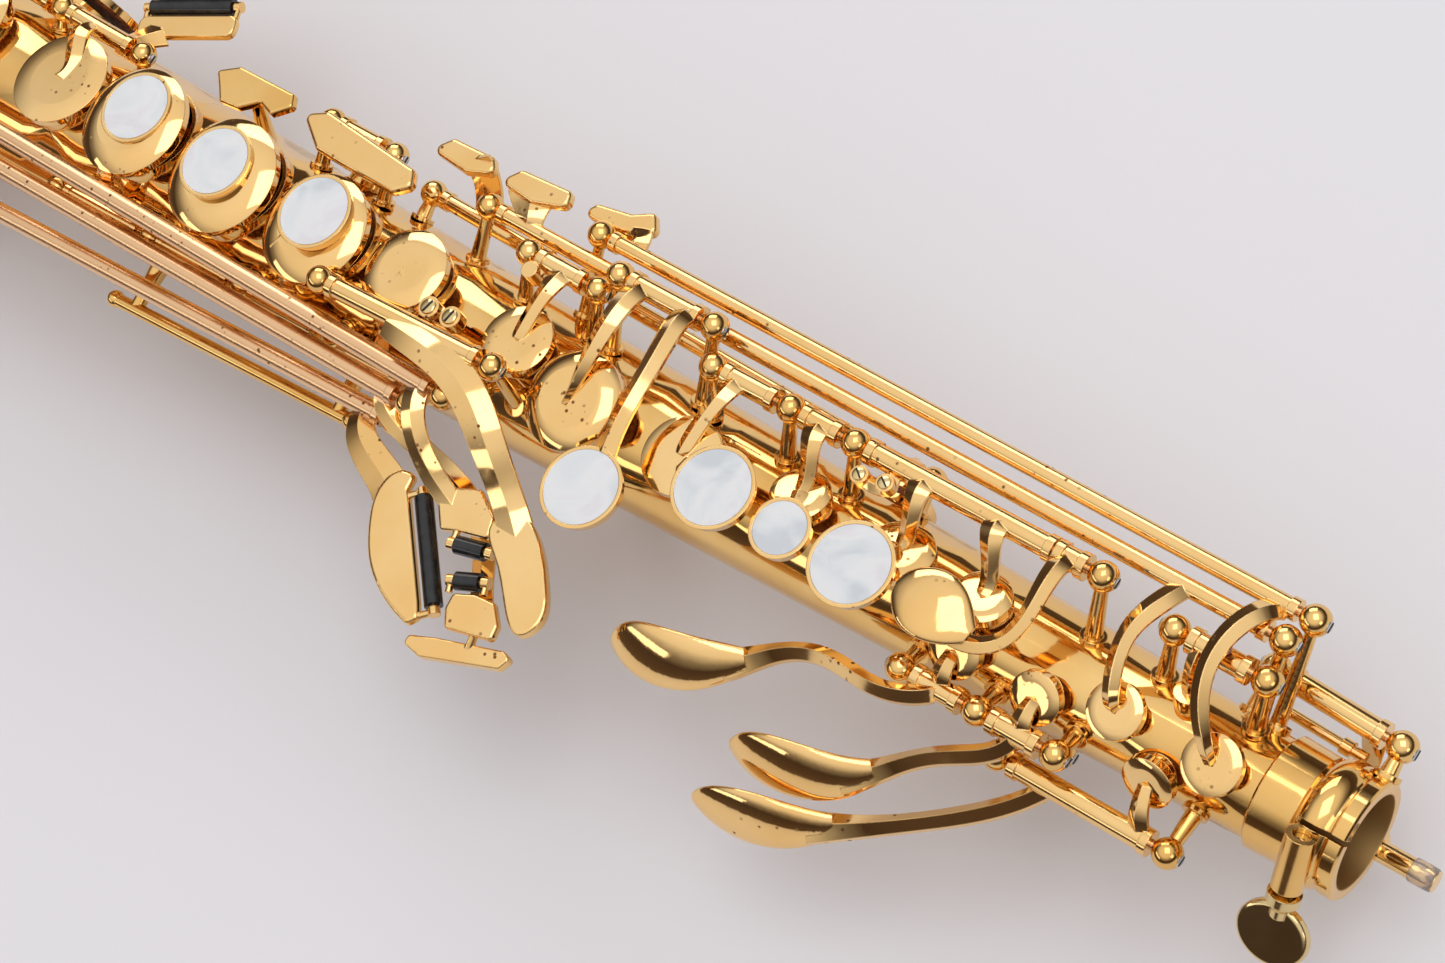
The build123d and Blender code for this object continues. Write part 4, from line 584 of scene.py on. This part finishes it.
# ---------------------------------------------------------------- floor and light
RIM_FOOT = Vector((-0.5585, 0, -0.0461))
HOOK_FOOT = Vector((-0.2525, 0, -0.0372))
FLOOR_SIZE = 6.0
FLOOR_MOTTLE = 3.0
FLOOR_DEEP = (0.76, 0.755, 0.79)
FLOOR_PALE = (0.80, 0.79, 0.82)
FLOOR_ROUGHNESS = 0.85


def add_floor():
    """Pale floor under the bell's rim and the thumb hook."""
    slope = math.atan2(HOOK_FOOT.z - RIM_FOOT.z, HOOK_FOOT.x - RIM_FOOT.x)
    bpy.ops.mesh.primitive_plane_add(size=FLOOR_SIZE, location=RIM_FOOT, rotation=(0, -slope, 0))
    floor = bpy.context.object
    floor.name = "floor"
    material, tree, shader = new_material("floor")
    tint = ramp(tree, noise(tree, FLOOR_MOTTLE, 2.0), [(0.3, FLOOR_DEEP), (0.7, FLOOR_PALE)])
    tree.links.new(tint, shader.inputs["Base Color"])
    shader.inputs["Roughness"].default_value = FLOOR_ROUGHNESS
    floor.data.materials.append(material)


MIDDLE = (-0.25, 0, 0)
MOUTH = (0, 0, 0)
# Name, place, target, size of the face, radiance and colour.
LAMPS = (
    ("side_box", (-0.90, 1.0, 0.74), MIDDLE, (1.1, 0.6), 2.4, (1.0, 0.99, 0.98)),
    ("front_strip", (-0.93, -1.05, 0.62), MIDDLE, (1.2, 0.22), 1.8, (1.0, 0.97, 0.94)),
    ("top_box", (0.10, 0.25, 1.5), MIDDLE, (1.0, 0.9), 1.6, (1.0, 1.0, 1.0)),
    ("mouth_box", (1.1, -0.15, 0.75), MOUTH, (0.5, 0.35), 1.6, (1.0, 0.97, 0.93)),
)


def add_area(name, location, target, size, radiance, colour):
    """Soft box whose face shines with the given radiance."""
    data = bpy.data.lights.new(name, "AREA")
    data.shape = "RECTANGLE"
    data.size, data.size_y = size
    data.energy = radiance * math.pi * size[0] * size[1]
    data.color = colour
    lamp = bpy.data.objects.new(name, data)
    lamp.location = location
    aim = Vector(target) - Vector(location)
    lamp.rotation_euler = aim.to_track_quat("-Z", "Y").to_euler()
    scene.collection.objects.link(lamp)


# Colour of the surroundings by the height of the direction, from level to overhead.
SKY = [(0.0, (0.10, 0.07, 0.055)), (0.28, (0.06, 0.042, 0.035)), (0.46, (0.24, 0.225, 0.22)),
       (0.72, (0.84, 0.83, 0.84)), (1.0, (1.0, 0.99, 1.0))]


def add_world():
    """Studio surroundings: pale overhead, dark toward the horizon."""
    world = bpy.data.worlds.new("world")
    world.use_nodes = True
    tree = world.node_tree
    direction = tree.nodes.new("ShaderNodeTexCoord")
    parts = tree.nodes.new("ShaderNodeSeparateXYZ")
    tree.links.new(direction.outputs["Generated"], parts.inputs["Vector"])
    sky = ramp(tree, parts.outputs["Z"], SKY)
    tree.links.new(sky, tree.nodes["Background"].inputs["Color"])
    tree.nodes["Background"].inputs["Strength"].default_value = 1.0
    scene.world = world


add_camera()
add_floor()
for lamp in LAMPS:
    add_area(*lamp)
add_world()
scene.view_settings.view_transform = "Standard"
